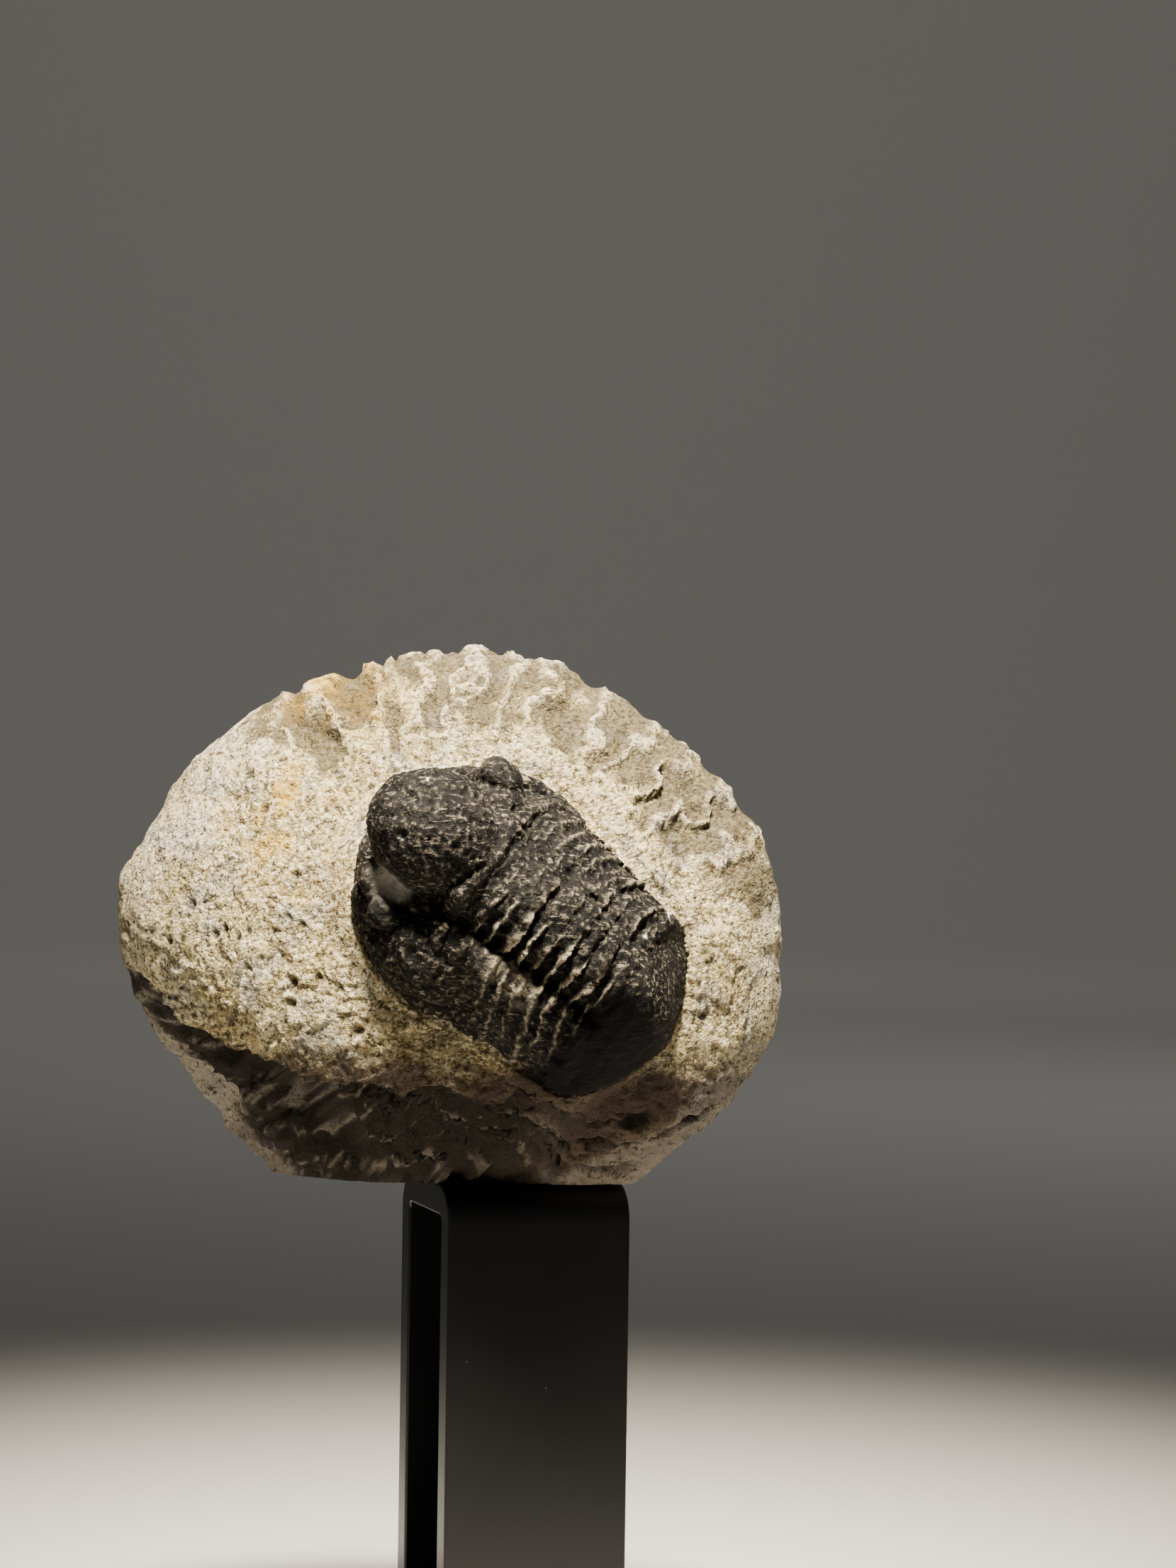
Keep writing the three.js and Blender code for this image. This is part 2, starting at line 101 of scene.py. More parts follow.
def plainMesh(piece, name):
    # what the modifiers make, as a mesh of its own
    bpy.context.view_layer.update()
    evaluated = piece.evaluated_get(bpy.context.evaluated_depsgraph_get())
    data = bpy.data.meshes.new_from_object(evaluated)
    data.name = name
    old = piece.data
    piece.modifiers.clear()
    piece.data = data
    if old.users == 0:
        bpy.data.meshes.remove(old)
    return piece


def pointsOf(data):
    flat = np.empty(len(data.vertices) * 3)
    data.vertices.foreach_get("co", flat)
    return flat.reshape(-1, 3)


def setPoints(data, points):
    data.vertices.foreach_set("co", np.asarray(points, np.float32).ravel())
    data.update()


def setAttributes(data, paints):
    for name, values in paints.items():
        attribute = data.attributes.new(name, "FLOAT", "POINT")
        attribute.data.foreach_set("value", np.clip(values, 0, 1).astype(np.float32))


def meshLinks(data):
    links = np.empty(len(data.edges) * 2, np.int64)
    data.edges.foreach_get("vertices", links)
    links = links.reshape(-1, 2)
    return links, np.maximum(np.bincount(links.ravel(), minlength=len(data.vertices)), 1)


def neighbourMean(values, links, count):
    total = np.zeros((len(values),) + values.shape[1:])
    np.add.at(total, links[:, 0], values[links[:, 1]])
    np.add.at(total, links[:, 1], values[links[:, 0]])
    return total / (count if values.ndim == 1 else count[:, None])


def smoothStep(value, low, high):
    t = np.clip((value - low) / (high - low), 0, 1)
    return t * t * (3 - 2 * t)


# Repeatable lumps and pits

def scatter(i, j=0, k=0):
    wave = np.sin(np.asarray(i) * 127.1 + np.asarray(j) * 311.7 + np.asarray(k) * 74.7) * 43758.5453
    return wave - np.floor(wave)


def lumps(points):
    cell = np.floor(points)
    blend = points - cell
    blend = blend * blend * (3 - 2 * blend)
    total = np.zeros(len(points))
    for corner in np.ndindex(2, 2, 2):
        share = np.abs(1 - np.array(corner) - blend).prod(1)
        total += share * scatter(*(cell + corner).T)
    return 2 * total - 1


def rubble(points, size, octaves, start):
    total = np.zeros(len(points))
    for octave in range(octaves):
        total += 0.5**octave * lumps(points / size * 2**octave + start + 7.3 * octave)
    return total


def ridges(points, size, octaves, start):
    total = np.zeros(len(points))
    for octave in range(octaves):
        total += 0.5**octave * (1 - 2 * np.abs(lumps(points / size * 2**octave + start + 3.1 * octave)))
    return total


def nearestSpots(points, spacing, start=0.0):
    # the way to the nearest of one random spot in each cell, its length in cells, and that spot's own number
    cell = np.floor(points / spacing + start)
    inside = points / spacing + start - cell
    nearest = np.full(len(points), 9.0)
    number = np.zeros(len(points))
    way = np.zeros((len(points), 3))
    for corner in np.ndindex(3, 3, 3):
        step = np.array(corner) - 1
        x, y, z = (cell + step).T
        spot = np.stack([scatter(x, y, z), scatter(y + 9, z, x), scatter(z, x + 5, y)], 1) + step
        away = np.linalg.norm(spot - inside, axis=1)
        closer = away < nearest
        nearest = np.where(closer, away, nearest)
        number = np.where(closer, scatter(x + 3, y + 7, z + 1), number)
        way = np.where(closer[:, None], spot - inside, way)
    return way, nearest, number


def facets(points, spacing, start):
    # small flat breaks: the cell round each random spot has a tilt of its own
    way, _, number = nearestSpots(points, spacing, start)
    tilt = np.stack([scatter(number * 97.3, n) for n in (1, 2, 3)], 1) - 0.5
    return spacing * (way * tilt).sum(1)


def terraces(points, size, levels, start):
    # thin layers spalled away to wavy edges
    level = levels * rubble(points, size, 4, start)
    return np.floor(level) + smoothStep(level - np.floor(level), 0.0, 0.14)


def bumps(kinds, points):
    # several sorts of relief together, each given as its function, its height and the function's own values
    return sum(height * kind(points, *values) for kind, height, *values in kinds)


print("frame loaded, riser top at", round(riserTop / mm, 1), "mm")


# Camera, as the photograph was taken: level, from the riser's front left
camera = {
    "lens": 84.0,  # mm on a 36 mm tall frame
    "distance": 490.0,  # mm from the plane of the stone's rim
    "right": 8.9,  # the optical axis in the specimen's frame, mm
    "up": 53.3,
    "roll": math.radians(0.8),
}


def placeCamera():
    data = bpy.data.cameras.new("camera")
    data.lens = camera["lens"]
    data.clip_start = 0.01
    data.clip_end = 50
    piece = inScene("camera", data)
    spot = specimenToRow @ Vector((camera["right"], -camera["distance"], camera["up"]))
    turn = Matrix.Rotation(specimenTurn, 4, "Z") @ Matrix.Rotation(math.pi / 2, 4, "X")
    piece.matrix_world = Matrix.Translation(spot) @ turn @ Matrix.Rotation(camera["roll"], 4, "Z")
    bpy.context.scene.camera = piece


placeCamera()


# Materials

def newMaterial(name):
    material = bpy.data.materials.new(name)
    material.use_nodes = True
    tree = material.node_tree
    tree.nodes.clear()
    shader = addNode(tree, "ShaderNodeBsdfPrincipled")
    addNode(tree, "ShaderNodeOutputMaterial", {"Surface": shader.outputs["BSDF"]})
    place = addNode(tree, "ShaderNodeTexCoord").outputs["Object"]
    return material, tree, shader, place


def noiseFields(tree, noises, place):
    # noises by name: size in mm, detail and distortion
    fields = {}
    for name, (size, detail, distortion) in noises.items():
        inputs = {"Vector": place, "Scale": perMetre(size), "Detail": detail}
        inputs.update({"Roughness": 0.6, "Distortion": distortion})
        fields[name] = addNode(tree, "ShaderNodeTexNoise", inputs).outputs["Fac"]
    return fields


def paintLayers(tree, shader, fields, look):
    # each layer: colour, strength, and the fields that limit it, each with the span over which it fades in
    colour = linearColour(look["base"])
    for hexText, share, *limits in look["layers"]:
        for name, *span in limits:
            if name not in fields:
                fields[name] = addNode(tree, "ShaderNodeAttribute", attribute_name=name).outputs["Fac"]
            field = fields[name]
            if span:
                inputs = {"Value": field, "From Min": span[0], "From Max": span[1]}
                node = addNode(tree, "ShaderNodeMapRange", inputs, interpolation_type="SMOOTHSTEP")
                field = node.outputs["Result"]
            node = addNode(tree, "ShaderNodeMath", {0: field, 1: share}, operation="MULTIPLY", use_clamp=True)
            share = node.outputs["Value"]
        inputs = {0: share, 6: colour, 7: linearColour(hexText)}
        colour = addNode(tree, "ShaderNodeMix", inputs, data_type="RGBA").outputs[2]
    tree.links.new(colour, shader.inputs["Base Color"])
    height = 0.0
    for name, weight in look["height"]:
        inputs = {0: fields[name], 1: weight, 2: height}
        height = addNode(tree, "ShaderNodeMath", inputs, operation="MULTIPLY_ADD").outputs["Value"]
    bump = addNode(tree, "ShaderNodeBump", {"Height": height, "Strength": 1.0, "Distance": look["bump"] * mm})
    tree.links.new(bump.outputs["Normal"], shader.inputs["Normal"])
    inputs = {"Value": fields["cloud"], "To Min": look["roughness"][0], "To Max": look["roughness"][1]}
    tree.links.new(addNode(tree, "ShaderNodeMapRange", inputs).outputs["Result"], shader.inputs["Roughness"])
    shader.inputs["Specular IOR Level"].default_value = look["specular"]


# Fine-grained limestone, hammered and air-abraded: sugary cream with short dark marks, grey-brown flake scars,
# brown weathered breaks, painted shade in hollows and under the animal, painted highlights on layer lips,
# and a few ochre stains
limestone = {
    "noises": {
        "cloud": (16, 4, 0),
        "patch": (5.5, 5, 0),
        "blotch": (2.6, 5, 0),
        "grain": (0.8, 4, 0),
        "fine": (0.36, 2, 0),
        "contour": (1.5, 2, 0.9),
        "parting": (1.15, 2, 0.4),
    },
    "crystal": 0.42,
    "stroke": 0.028,  # half width of a dark stroke, as a span of the contour noise
    "base": "#b3a06e",
    "layers": [
        ("#ccba88", 1.0, ("cloud", 0.42, 0.6)),
        ("#a29f8d", 0.85, ("patch", 0.5, 0.64)),
        ("#8d7c56", 0.75, ("blotch", 0.53, 0.68)),
        ("#f3e9cc", 0.8, ("grain", 0.45, 0.32)),
        ("#f6ecd2", 0.4, ("crystalTone", 0.6, 0.72)),
        ("#463a29", 0.55, ("crystalTone", 0.4, 0.28)),
        ("#cba132", 0.95, ("stain",)),
        ("#4a412f", 0.82, ("scar",), ("patch", 0.24, 0.46)),
        # weathering, and painted shade on the low band under the animal and in the broken recess
        ("#3a2d28", 0.98, ("weathered",)),
        ("#7d7568", 0.95, ("sawn",)),
        # pale bruised flute ridges, and painted highlights on the layer lips
        ("#efe8d6", 1.0, ("bruise",)),
        ("#4a3d28", 0.85, ("grain", 0.54, 0.66)),
        ("#352b1e", 0.85, ("stroke",), ("parting", 0.5, 0.58)),
        # painted shade in cavities, crevices, pits and the broken recess
        ("#1d1813", 1.0, ("hollow",)),
    ],
    "height": [("grain", 0.55), ("fine", 0.3), ("stroke", -0.15), ("crystalEdge", -0.08)],
    "bump": 0.9,
    "roughness": (0.9, 0.96),
    "specular": 0.25,
}


def chalkyLimestone():
    material, tree, shader, place = newMaterial("chalkyLimestone")
    fields = noiseFields(tree, limestone["noises"], place)
    inputs = {"Vector": place, "Scale": perMetre(limestone["crystal"]), "Randomness": 1.0}
    crystals = addNode(tree, "ShaderNodeTexVoronoi", inputs).outputs
    fields["crystalTone"] = addNode(tree, "ShaderNodeRGBToBW", {"Color": crystals["Color"]}).outputs["Val"]
    fields["crystalEdge"] = crystals["Distance"]
    inputs = {0: fields["contour"], 1: 0.5, 2: limestone["stroke"]}
    fields["stroke"] = addNode(tree, "ShaderNodeMath", inputs, operation="COMPARE").outputs["Value"]
    paintLayers(tree, shader, fields, limestone)
    return material


# Black calcite shell freed with an abrasive jet: matt, with pale worn edges partly painted as highlight,
# painted shade in creases, troughs and on the tail's left side, scratches and a few white flecks
shell = {
    "noises": {"cloud": (7, 4, 0), "grain": (0.7, 4, 0), "fine": (0.3, 2, 0)},
    "scratches": {"scratch": (0.5, 3, 0)},
    "scratchTurn": 48,  # scratches run along the rings, up to the right as the animal lies
    "scratchStretch": (0.17, 1.0, 1.0),
    "base": "#141311",
    "layers": [
        ("#24221f", 1.0, ("cloud", 0.4, 0.62)),
        ("#655e50", 0.75, ("grain", 0.54, 0.66)),
        ("#9c917c", 0.65, ("scratch", 0.59, 0.69)),
        ("#080807", 0.85, ("grain", 0.45, 0.35)),
        # worn edges, partly painted highlight on bulges and crests, with painted highlight on the facet and
        # beside the left furrow
        ("#b0a48c", 1.0, ("worn",), ("grain", 0.3, 0.5)),
        # painted shade in creases, in troughs between crests and on the tail's left side; the left eye painted
        # dark
        ("#060606", 1.0, ("hollow",)),
        # white flecks, and a painted highlight on the facet
        ("#e4e1da", 1.0, ("fleck",)),
    ],
    "height": [("grain", 0.5), ("scratch", 0.35), ("fine", 0.2)],
    "bump": 0.6,
    "roughness": (0.66, 0.84),
    "specular": 0.12,
}


def fossilShell():
    material, tree, shader, place = newMaterial("blackCalciteShell")
    fields = noiseFields(tree, shell["noises"], place)
    turn = (0.0, math.radians(shell["scratchTurn"]), 0.0)
    inputs = {"Vector": place, "Rotation": turn, "Scale": shell["scratchStretch"]}
    along = addNode(tree, "ShaderNodeMapping", inputs).outputs["Vector"]
    fields.update(noiseFields(tree, shell["scratches"], along))
    paintLayers(tree, shader, fields, shell)
    return material


# Cast acrylic sheet, line-bent: deep black, a satin sheen with faint wipe marks, and settled dust
acrylic = {
    "base": "#0b0b0c",
    "dust": "#8b8882",
    "dustApart": 4.2,
    "dustShare": 0.022,  # size of a speck, as a share of the way between two
    "wipe": 18,
    "roughness": (0.22, 0.4),
    "ior": 1.49,
}


def blackAcrylic():
    material, tree, shader, place = newMaterial("blackAcrylic")
    inputs = {"Vector": place, "Scale": perMetre(acrylic["wipe"]), "Detail": 4.0}
    wipe = addNode(tree, "ShaderNodeTexNoise", inputs).outputs["Fac"]
    inputs = {"Vector": place, "Scale": perMetre(acrylic["dustApart"]), "Randomness": 1.0}
    away = addNode(tree, "ShaderNodeTexVoronoi", inputs).outputs["Distance"]
    inputs = {0: acrylic["dustShare"], 1: away}
    speck = addNode(tree, "ShaderNodeMath", inputs, operation="GREATER_THAN").outputs["Value"]
    inputs = {0: speck, 6: linearColour(acrylic["base"]), 7: linearColour(acrylic["dust"])}
    colour = addNode(tree, "ShaderNodeMix", inputs, data_type="RGBA").outputs[2]
    tree.links.new(colour, shader.inputs["Base Color"])
    inputs = {"Value": wipe, "To Min": acrylic["roughness"][0], "To Max": acrylic["roughness"][1]}
    tree.links.new(addNode(tree, "ShaderNodeMapRange", inputs).outputs["Result"], shader.inputs["Roughness"])
    shader.inputs["IOR"].default_value = acrylic["ior"]
    return material


def paleFloor():
    # matt paper, plain and pale
    material, _, shader, _ = newMaterial("palePaper")
    shader.inputs["Base Color"].default_value = linearColour("#cbc8c2")
    shader.inputs["Roughness"].default_value = 0.9
    return material


limestoneMaterial = chalkyLimestone()
shellMaterial = fossilShell()
acrylicMaterial = blackAcrylic()
print("materials ready")


# Stone: a flattened ball about its heart, trimmed by broken faces, ledges, flake scars and cavities
stone = {
    "heart": np.array([-8.6, 0.0, 30.0]),
    "halfWidth": 45.2,
    "halfHeight": 42.0,
    "frontBulge": 23.0,
    "backBulge": 24.0,
    "fallRight": 0.1,
    "fallUp": 0.2,
    "edgeSharpness": 22,
    "lumpSize": 11.0,
    "lumpHeight": 0.9,
    "subdivisions": 7,
    "frontFrom": -0.22,  # directions further forward than this get a mesh twice as fine
}
brokenFaces = {
    "leftSide": ((-0.82, 0.1, -0.57), 39.4),
    "lowerLeft": ((-0.58, -0.6, -0.55), 31.2),
    "lowerFront": ((0.1, -0.655, -0.75), 27.0),
    "lowerRight": ((0.74, 0.0, -0.67), 41.2),
    "footRight": ((0.543, 0.0, -0.84), 38.6),
    "back": ((0.1, 0.98, 0.15), 22.5),
    "lowerBack": ((-0.1, 0.75, -0.66), 32.0),
}
backBreaks = {"count": 24, "clear": 0.38, "keep": 0.92, "keepSpread": 0.06}
ledges = {
    "count": 3,
    "along": (0.73, -0.58, -0.35),
    "firstTop": 3.0,
    "spacing": 5.2,
    "depth": 1.5,
    "skew": 0.2,
    "edgeWaver": 1.3,
    "floorWaver": 0.5,
}
# Flake scars side by side round the rim, from the right over the top, in degrees and mm
flutes = {
    "count": 15,
    "from": 8,
    "to": 130,
    "stray": 1.7,  # how far a scar may lie from its even place, as a share of their spacing
    "wander": 4.5,  # how far their ridges stray, degrees, and the size of the bends
    "wanderSize": 4.0,
    "depth": 1.9,
    "depthSpread": (0.4, 1.2),  # least share of the depth, and what chance adds
    "deepen": (-15, 60),  # from nothing to their full depth between these angles
    "length": 10.0,
    "lengthSpread": (0.55, 0.9),
    "ragged": 2.2,
    "raggedSize": 3.5,
    "startEdge": 2.6,  # over how long a way a scar begins on the front
    "startShare": 0.22,  # its depth there
    "rimShare": 0.5,  # how much shallower it is at the rim
    "lopsided": 0.6,
    "behind": 16.0,
    "behindFrom": 4.0,
}
# Low arcs of crevices under the animal: how far apart they lie, and the middle and bend of the arcs
crevices = {
    "apart": 3.3,
    "middleX": 4.0,
    "bend": 0.013,
    "depth": 1.5,
    "top": 13.0,
    "topFade": 3.0,
    "left": -20.0,
    "right": 27.0,
    "endFade": 4.0,
    "ragged": 0.45,
    "stretch": (2.4, 1.5, 1.0),
    "patchStretch": (2.0, 1.5, 1.0),
}
cavities = {
    "count": 6,
    "left": -6,
    "right": 25,
    "top": -20.5,
    "sag": 4.6,
    "width": 2.3,
    "height": 1.3,
    "depth": 1.8,
    "bite": 1.2,
    "smallest": 0.7,
    "sizeSpread": 0.7,
}
# The line where layers broke away below, as x and z in the specimen's frame, and how far back the break lies
undercut = {
    "line": [
        (-56, 30), (-50.8, 27.1), (-42.4, 20.6), (-35.5, 17.8), (-25.3, 15.0), (-13.3, 14.6),
        (0, 11), (14, 8),
    ],
    "wander": 1.2,
    "drop": 3.4,
    "layer": 3.1,
    "layerDepth": 1.7,
    "layerRagged": 0.38,
    "layerStretch": (4.0, 2.0, 1.0),
    "rounding": 5,
    "crumble": 0.35,
    "crumbleSize": 2.0,
    "torn": 0.7,  # how much rougher the break is than other low faces
    "fadeFrom": -12.0,
    "fadeTo": 12.0,
}
# Relief of the worked front, its spalled layers, the back and the low breaks: function, height and sizes, mm
stoneRelief = {
    "grit": [(rubble, 0.2, 3.4, 3, 3.0), (ridges, -0.12, 1.5, 2, 5.0), (facets, 0.2, 1.5, 2.0)],
    "spall": [(terraces, 0.3, 11.0, 2.2, 63.0)],
    "craggy": [(ridges, 0.7, 7.0, 4, 23.0), (rubble, 0.3, 1.8, 3, 29.0), (facets, 0.5, 5.0, 8.0)],
    "rough": [(ridges, 0.4, 2.4, 3, 13.0), (rubble, 0.3, 1.1, 3, 7.0), (facets, 0.4, 2.0, 5.0)],
}
stonePits = {"spacing": 3.4, "share": 0.35, "depth": 0.6}
# Ochre stains: x, z, spread and strength
stainSpots = [
    (-25.5, 64.0, 4.2, 1.7), (-32.0, 50.5, 5.0, 0.8), (-20.5, 66.5, 2.8, 1.2),
    (-28.5, 44.0, 6.0, 0.4),
]


def unit(vector):
    vector = np.asarray(vector, float)
    return vector / np.linalg.norm(vector)


def faceList():
    faces = [(unit(toward), distance) for toward, distance in brokenFaces.values()]
    reach = np.array([stone["halfWidth"], stone["backBulge"], stone["halfHeight"]])
    for i in range(backBreaks["count"]):
        y = backBreaks["clear"] + (1 - backBreaks["clear"]) * (i + 0.5) / backBreaks["count"]
        turn = i * math.pi * (3 - math.sqrt(5))
        ring = math.sqrt(1 - y * y)
        toward = np.array([ring * math.cos(turn), y, ring * math.sin(turn)])
        keep = backBreaks["keep"] + backBreaks["keepSpread"] * float(scatter(i, 6))
        faces.append((toward, np.linalg.norm(toward * reach) * keep))
    return faces


allFaces = faceList()


def stoneReach(toward):
    # distance to the surface, and how much of it each broken face shapes
    fall = 1 - stone["fallRight"] * toward[:, 0] - stone["fallUp"] * toward[:, 2]
    bulge = np.where(toward[:, 1] < 0, stone["frontBulge"] * fall, stone["backBulge"])
    x, y, z = toward.T
    ball = np.sqrt((x / stone["halfWidth"]) ** 2 + (y / bulge) ** 2 + (z / stone["halfHeight"]) ** 2)
    power = stone["edgeSharpness"]
    parts = [ball**power]
    for outward, distance in allFaces:
        parts.append((np.maximum(toward @ outward, 0) / distance) ** power)
    parts = np.stack(parts, 1)
    total = parts.sum(1)
    return total ** (-1 / power), parts[:, 1:] / total[:, None]


def scoopCut(toward, direction, outward, sizes, bite):
    # where a ray from the heart first meets a scoop that bites the surface
    slope = unit(np.array([0, 1, 0]) - outward * outward[1])
    axes = np.stack([np.cross(slope, outward), slope, outward])
    middle = direction * stoneReach(direction[None])[0][0] + outward * (sizes[2] - bite)
    ray = toward @ axes.T / sizes
    begin = -(axes @ middle) / sizes
    a = (ray * ray).sum(1)
    b = ray @ begin
    inside = b * b - a * (begin @ begin - 1)
    return np.where((inside > 0) & (b < 0), (-b - np.sqrt(np.maximum(inside, 0))) / a, np.inf)


def rimFlutes(toward, places):
    # how deep each place lies in a scar, whether it lies in one at all, and whether on a ridge between two
    number = np.arange(flutes["count"])
    share = (number + flutes["stray"] * (scatter(number, 1) - 0.5)) / (flutes["count"] - 1)
    middles = np.sort(flutes["from"] + (flutes["to"] - flutes["from"]) * share)
    between = 0.5 * (middles[1:] + middles[:-1])
    bounds = np.concatenate([[2 * middles[0] - between[0]], between, [2 * middles[-1] - between[-1]]])
    turn = np.degrees(np.arctan2(toward[:, 2], toward[:, 0]))
    turn = turn + flutes["wander"] * rubble(places, flutes["wanderSize"], 4, 81.0)
    i = np.clip(np.searchsorted(bounds, turn) - 1, 0, flutes["count"] - 1)
    across = np.clip(2 * (turn - bounds[i]) / (bounds[i + 1] - bounds[i]) - 1, -1, 1)
    flat = toward * (1, 0, 1)
    rim = stoneReach(flat / np.linalg.norm(flat, axis=1)[:, None])[0]
    inset = np.where(toward[:, 1] < 0, rim - np.hypot(places[:, 0], places[:, 2]), 0)
    least, chance = flutes["lengthSpread"]
    length = flutes["length"] * (least + chance * scatter(i, 2))
    length = length + flutes["ragged"] * rubble(places, flutes["raggedSize"], 3, 87.0)
    along = 1 - np.clip(inset / length, 0, 1)
    begun = smoothStep(inset, length, length - flutes["startEdge"])
    begun = begun * smoothStep(toward[:, 1] * rim, flutes["behind"], flutes["behindFrom"])
    lopsided = flutes["lopsided"] * across * np.where(scatter(i, 4) > 0.5, 1, -1)
    scoop = (1 - across**2) * smoothStep(1 - np.abs(across), 0.0, 0.3) * (1 - lopsided)
    least, chance = flutes["depthSpread"]
    depth = flutes["depth"] * (least + chance * scatter(i, 3)) * smoothStep(turn, *flutes["deepen"]) * scoop
    depth = depth * (flutes["startShare"] + (1 - flutes["startShare"]) * along)
    depth = depth * (1 - flutes["rimShare"] * smoothStep(along, 0.55, 1.0)) * begun
    ridge = begun * smoothStep(np.abs(across), 0.72, 0.97)
    return depth, begun * smoothStep(scoop, 0.02, 0.25), ridge


def cavityCuts(toward):
    cut = np.full(len(toward), np.inf)
    outward, distance = unit(brokenFaces["lowerFront"][0]), brokenFaces["lowerFront"][1]
    for i in range(cavities["count"]):
        share = i / (cavities["count"] - 1)
        x = cavities["left"] + (cavities["right"] - cavities["left"]) * share
        z = cavities["top"] - cavities["sag"] * math.sin(math.pi * share)
        y = (distance - outward[0] * x - outward[2] * z) / outward[1]
        size = cavities["smallest"] + cavities["sizeSpread"] * float(scatter(i, 4))
        sizes = np.array([cavities["width"] * size, cavities["height"] * size, cavities["depth"]])
        cut = np.minimum(cut, scoopCut(toward, unit([x, y, z]), outward, sizes, cavities["bite"]))
    return cut


def ledgeCuts(toward, reach, waver):
    # each slab of broken-away layers, as it meets rays from the heart
    outward, distance = unit(brokenFaces["lowerLeft"][0]), brokenFaces["lowerLeft"][1]
    along = np.array(ledges["along"])
    along = unit(along - outward * (along @ outward))
    upward = np.cross(outward, along)
    cut = np.full(len(toward), np.inf)
    for i in range(ledges["count"]):
        tilt = (float(scatter(i, 5)) - 0.5) * ledges["skew"]
        rise = upward * math.cos(tilt) - along * math.sin(tilt)
        top = (ledges["firstTop"] - i * ledges["spacing"]) * math.cos(tilt) + ledges["edgeWaver"] * waver
        floor = distance - (i + 1) * ledges["depth"] + ledges["floorWaver"] * waver
        facing = toward @ outward
        climbing = toward @ rise
        enter = np.where(facing > 0.05, floor / np.maximum(facing, 0.05), np.inf)
        below = climbing * np.minimum(enter, reach) < top
        cut = np.where(below, np.minimum(cut, enter), cut)
    return cut


def stoneDirections():
    ball = bmesh.new()
    bmesh.ops.create_icosphere(ball, subdivisions=stone["subdivisions"], radius=1.0)
    front = [e for e in ball.edges if all(v.co.y < stone["frontFrom"] for v in e.verts)]
    bmesh.ops.subdivide_edges(ball, edges=front, cuts=1, use_grid_fill=True)
    bmesh.ops.triangulate(ball, faces=ball.faces[:])
    data = bpy.data.meshes.new("stoneBall")
    ball.to_mesh(data)
    ball.free()
    toward = pointsOf(data)
    return data, toward / np.linalg.norm(toward, axis=1)[:, None]


# Trilobite: where it lies on the stone, in the specimen's frame
trilobite = {
    "centre": (0.5, -19.2, 34.8),
    "headTurn": math.radians(143),
    "lean": math.radians(20),
    "tailDip": math.radians(4),
    "frontY": 23.0,
    "headRearY": 7.5,
    "thoraxRearY": -12.5,
    "tailY": -24.3,
    "headHalfWidth": 16.8,
    "thoraxHalfWidth": 16.5,
    "tailHalfWidth": 14.1,
    "tailPoint": 1.7,  # how the tail narrows to its tip: lower is more pointed
    "tailRound": 0.72,
    "axisHalfWidth": 7.6,
    "axisTailHalfWidth": 5.8,
    "crest": 13.6,
    "crestY": 1.0,
    "crestCurve": 0.012,
    "leftFurrow": 0.58,  # height of the furrows beside the axis, as a share of the crest
    "rightFurrow": 0.8,
    "sideShare": 0.68,
    "roofPower": 1.4,  # the tail has no furrows: its two sides fall away from the crest like a roof
    "roofFrom": 0.3,
    "segments": 9,
    "ribSweep": 3.4,
    "buried": 5.0,
}
# How the stone meets the animal: it rises to the margin, lies lower under the shell, and has a groove round it
plinth = {
    "topZ": -0.6,
    "ledge": 0.8,
    "slope": 1.3,
    "under": 0.06,
    "pocketZ": -1.0,
    "pocketFall": 3.0,
    "groove": 0.35,
    "grooveAt": -0.02,
    "grooveWidth": 0.05,
}
cheekCentreY = 6.5


def trilobitePlace():
    turn = trilobite["headTurn"]
    toHead = Vector((math.cos(turn), 0, math.sin(turn)))
    toRight = Vector((math.sin(turn), 0, -math.cos(turn)))
    basis = Matrix((toRight, toHead, toRight.cross(toHead))).transposed().to_4x4()
    lean = Matrix.Rotation(trilobite["lean"], 4, "Y") @ Matrix.Rotation(trilobite["tailDip"], 4, "X")
    return Matrix.Translation(trilobite["centre"]) @ basis @ lean


trilobiteToSpecimen = trilobitePlace()


def planDepth(points):
    # how far inside the animal's plan a place lies: 1 at the middle, 0 at the margin, negative outside
    y = points[:, 1]
    rear = trilobite["thoraxRearY"] - trilobite["ribSweep"]
    back = smoothStep(-y, -cheekCentreY, -rear)
    side = trilobite["headHalfWidth"] + (trilobite["tailHalfWidth"] - trilobite["headHalfWidth"]) * back
    across = np.abs(points[:, 0]) / side
    ahead = np.maximum(y - cheekCentreY, 0) / (trilobite["frontY"] - cheekCentreY)
    behind = np.maximum(rear - y, 0) / (rear - trilobite["tailY"])
    tail = (across ** (1 / trilobite["tailRound"]) + behind ** trilobite["tailPoint"]) ** trilobite["tailRound"]
    return 1 - np.where(y < rear, tail, np.hypot(across, ahead))


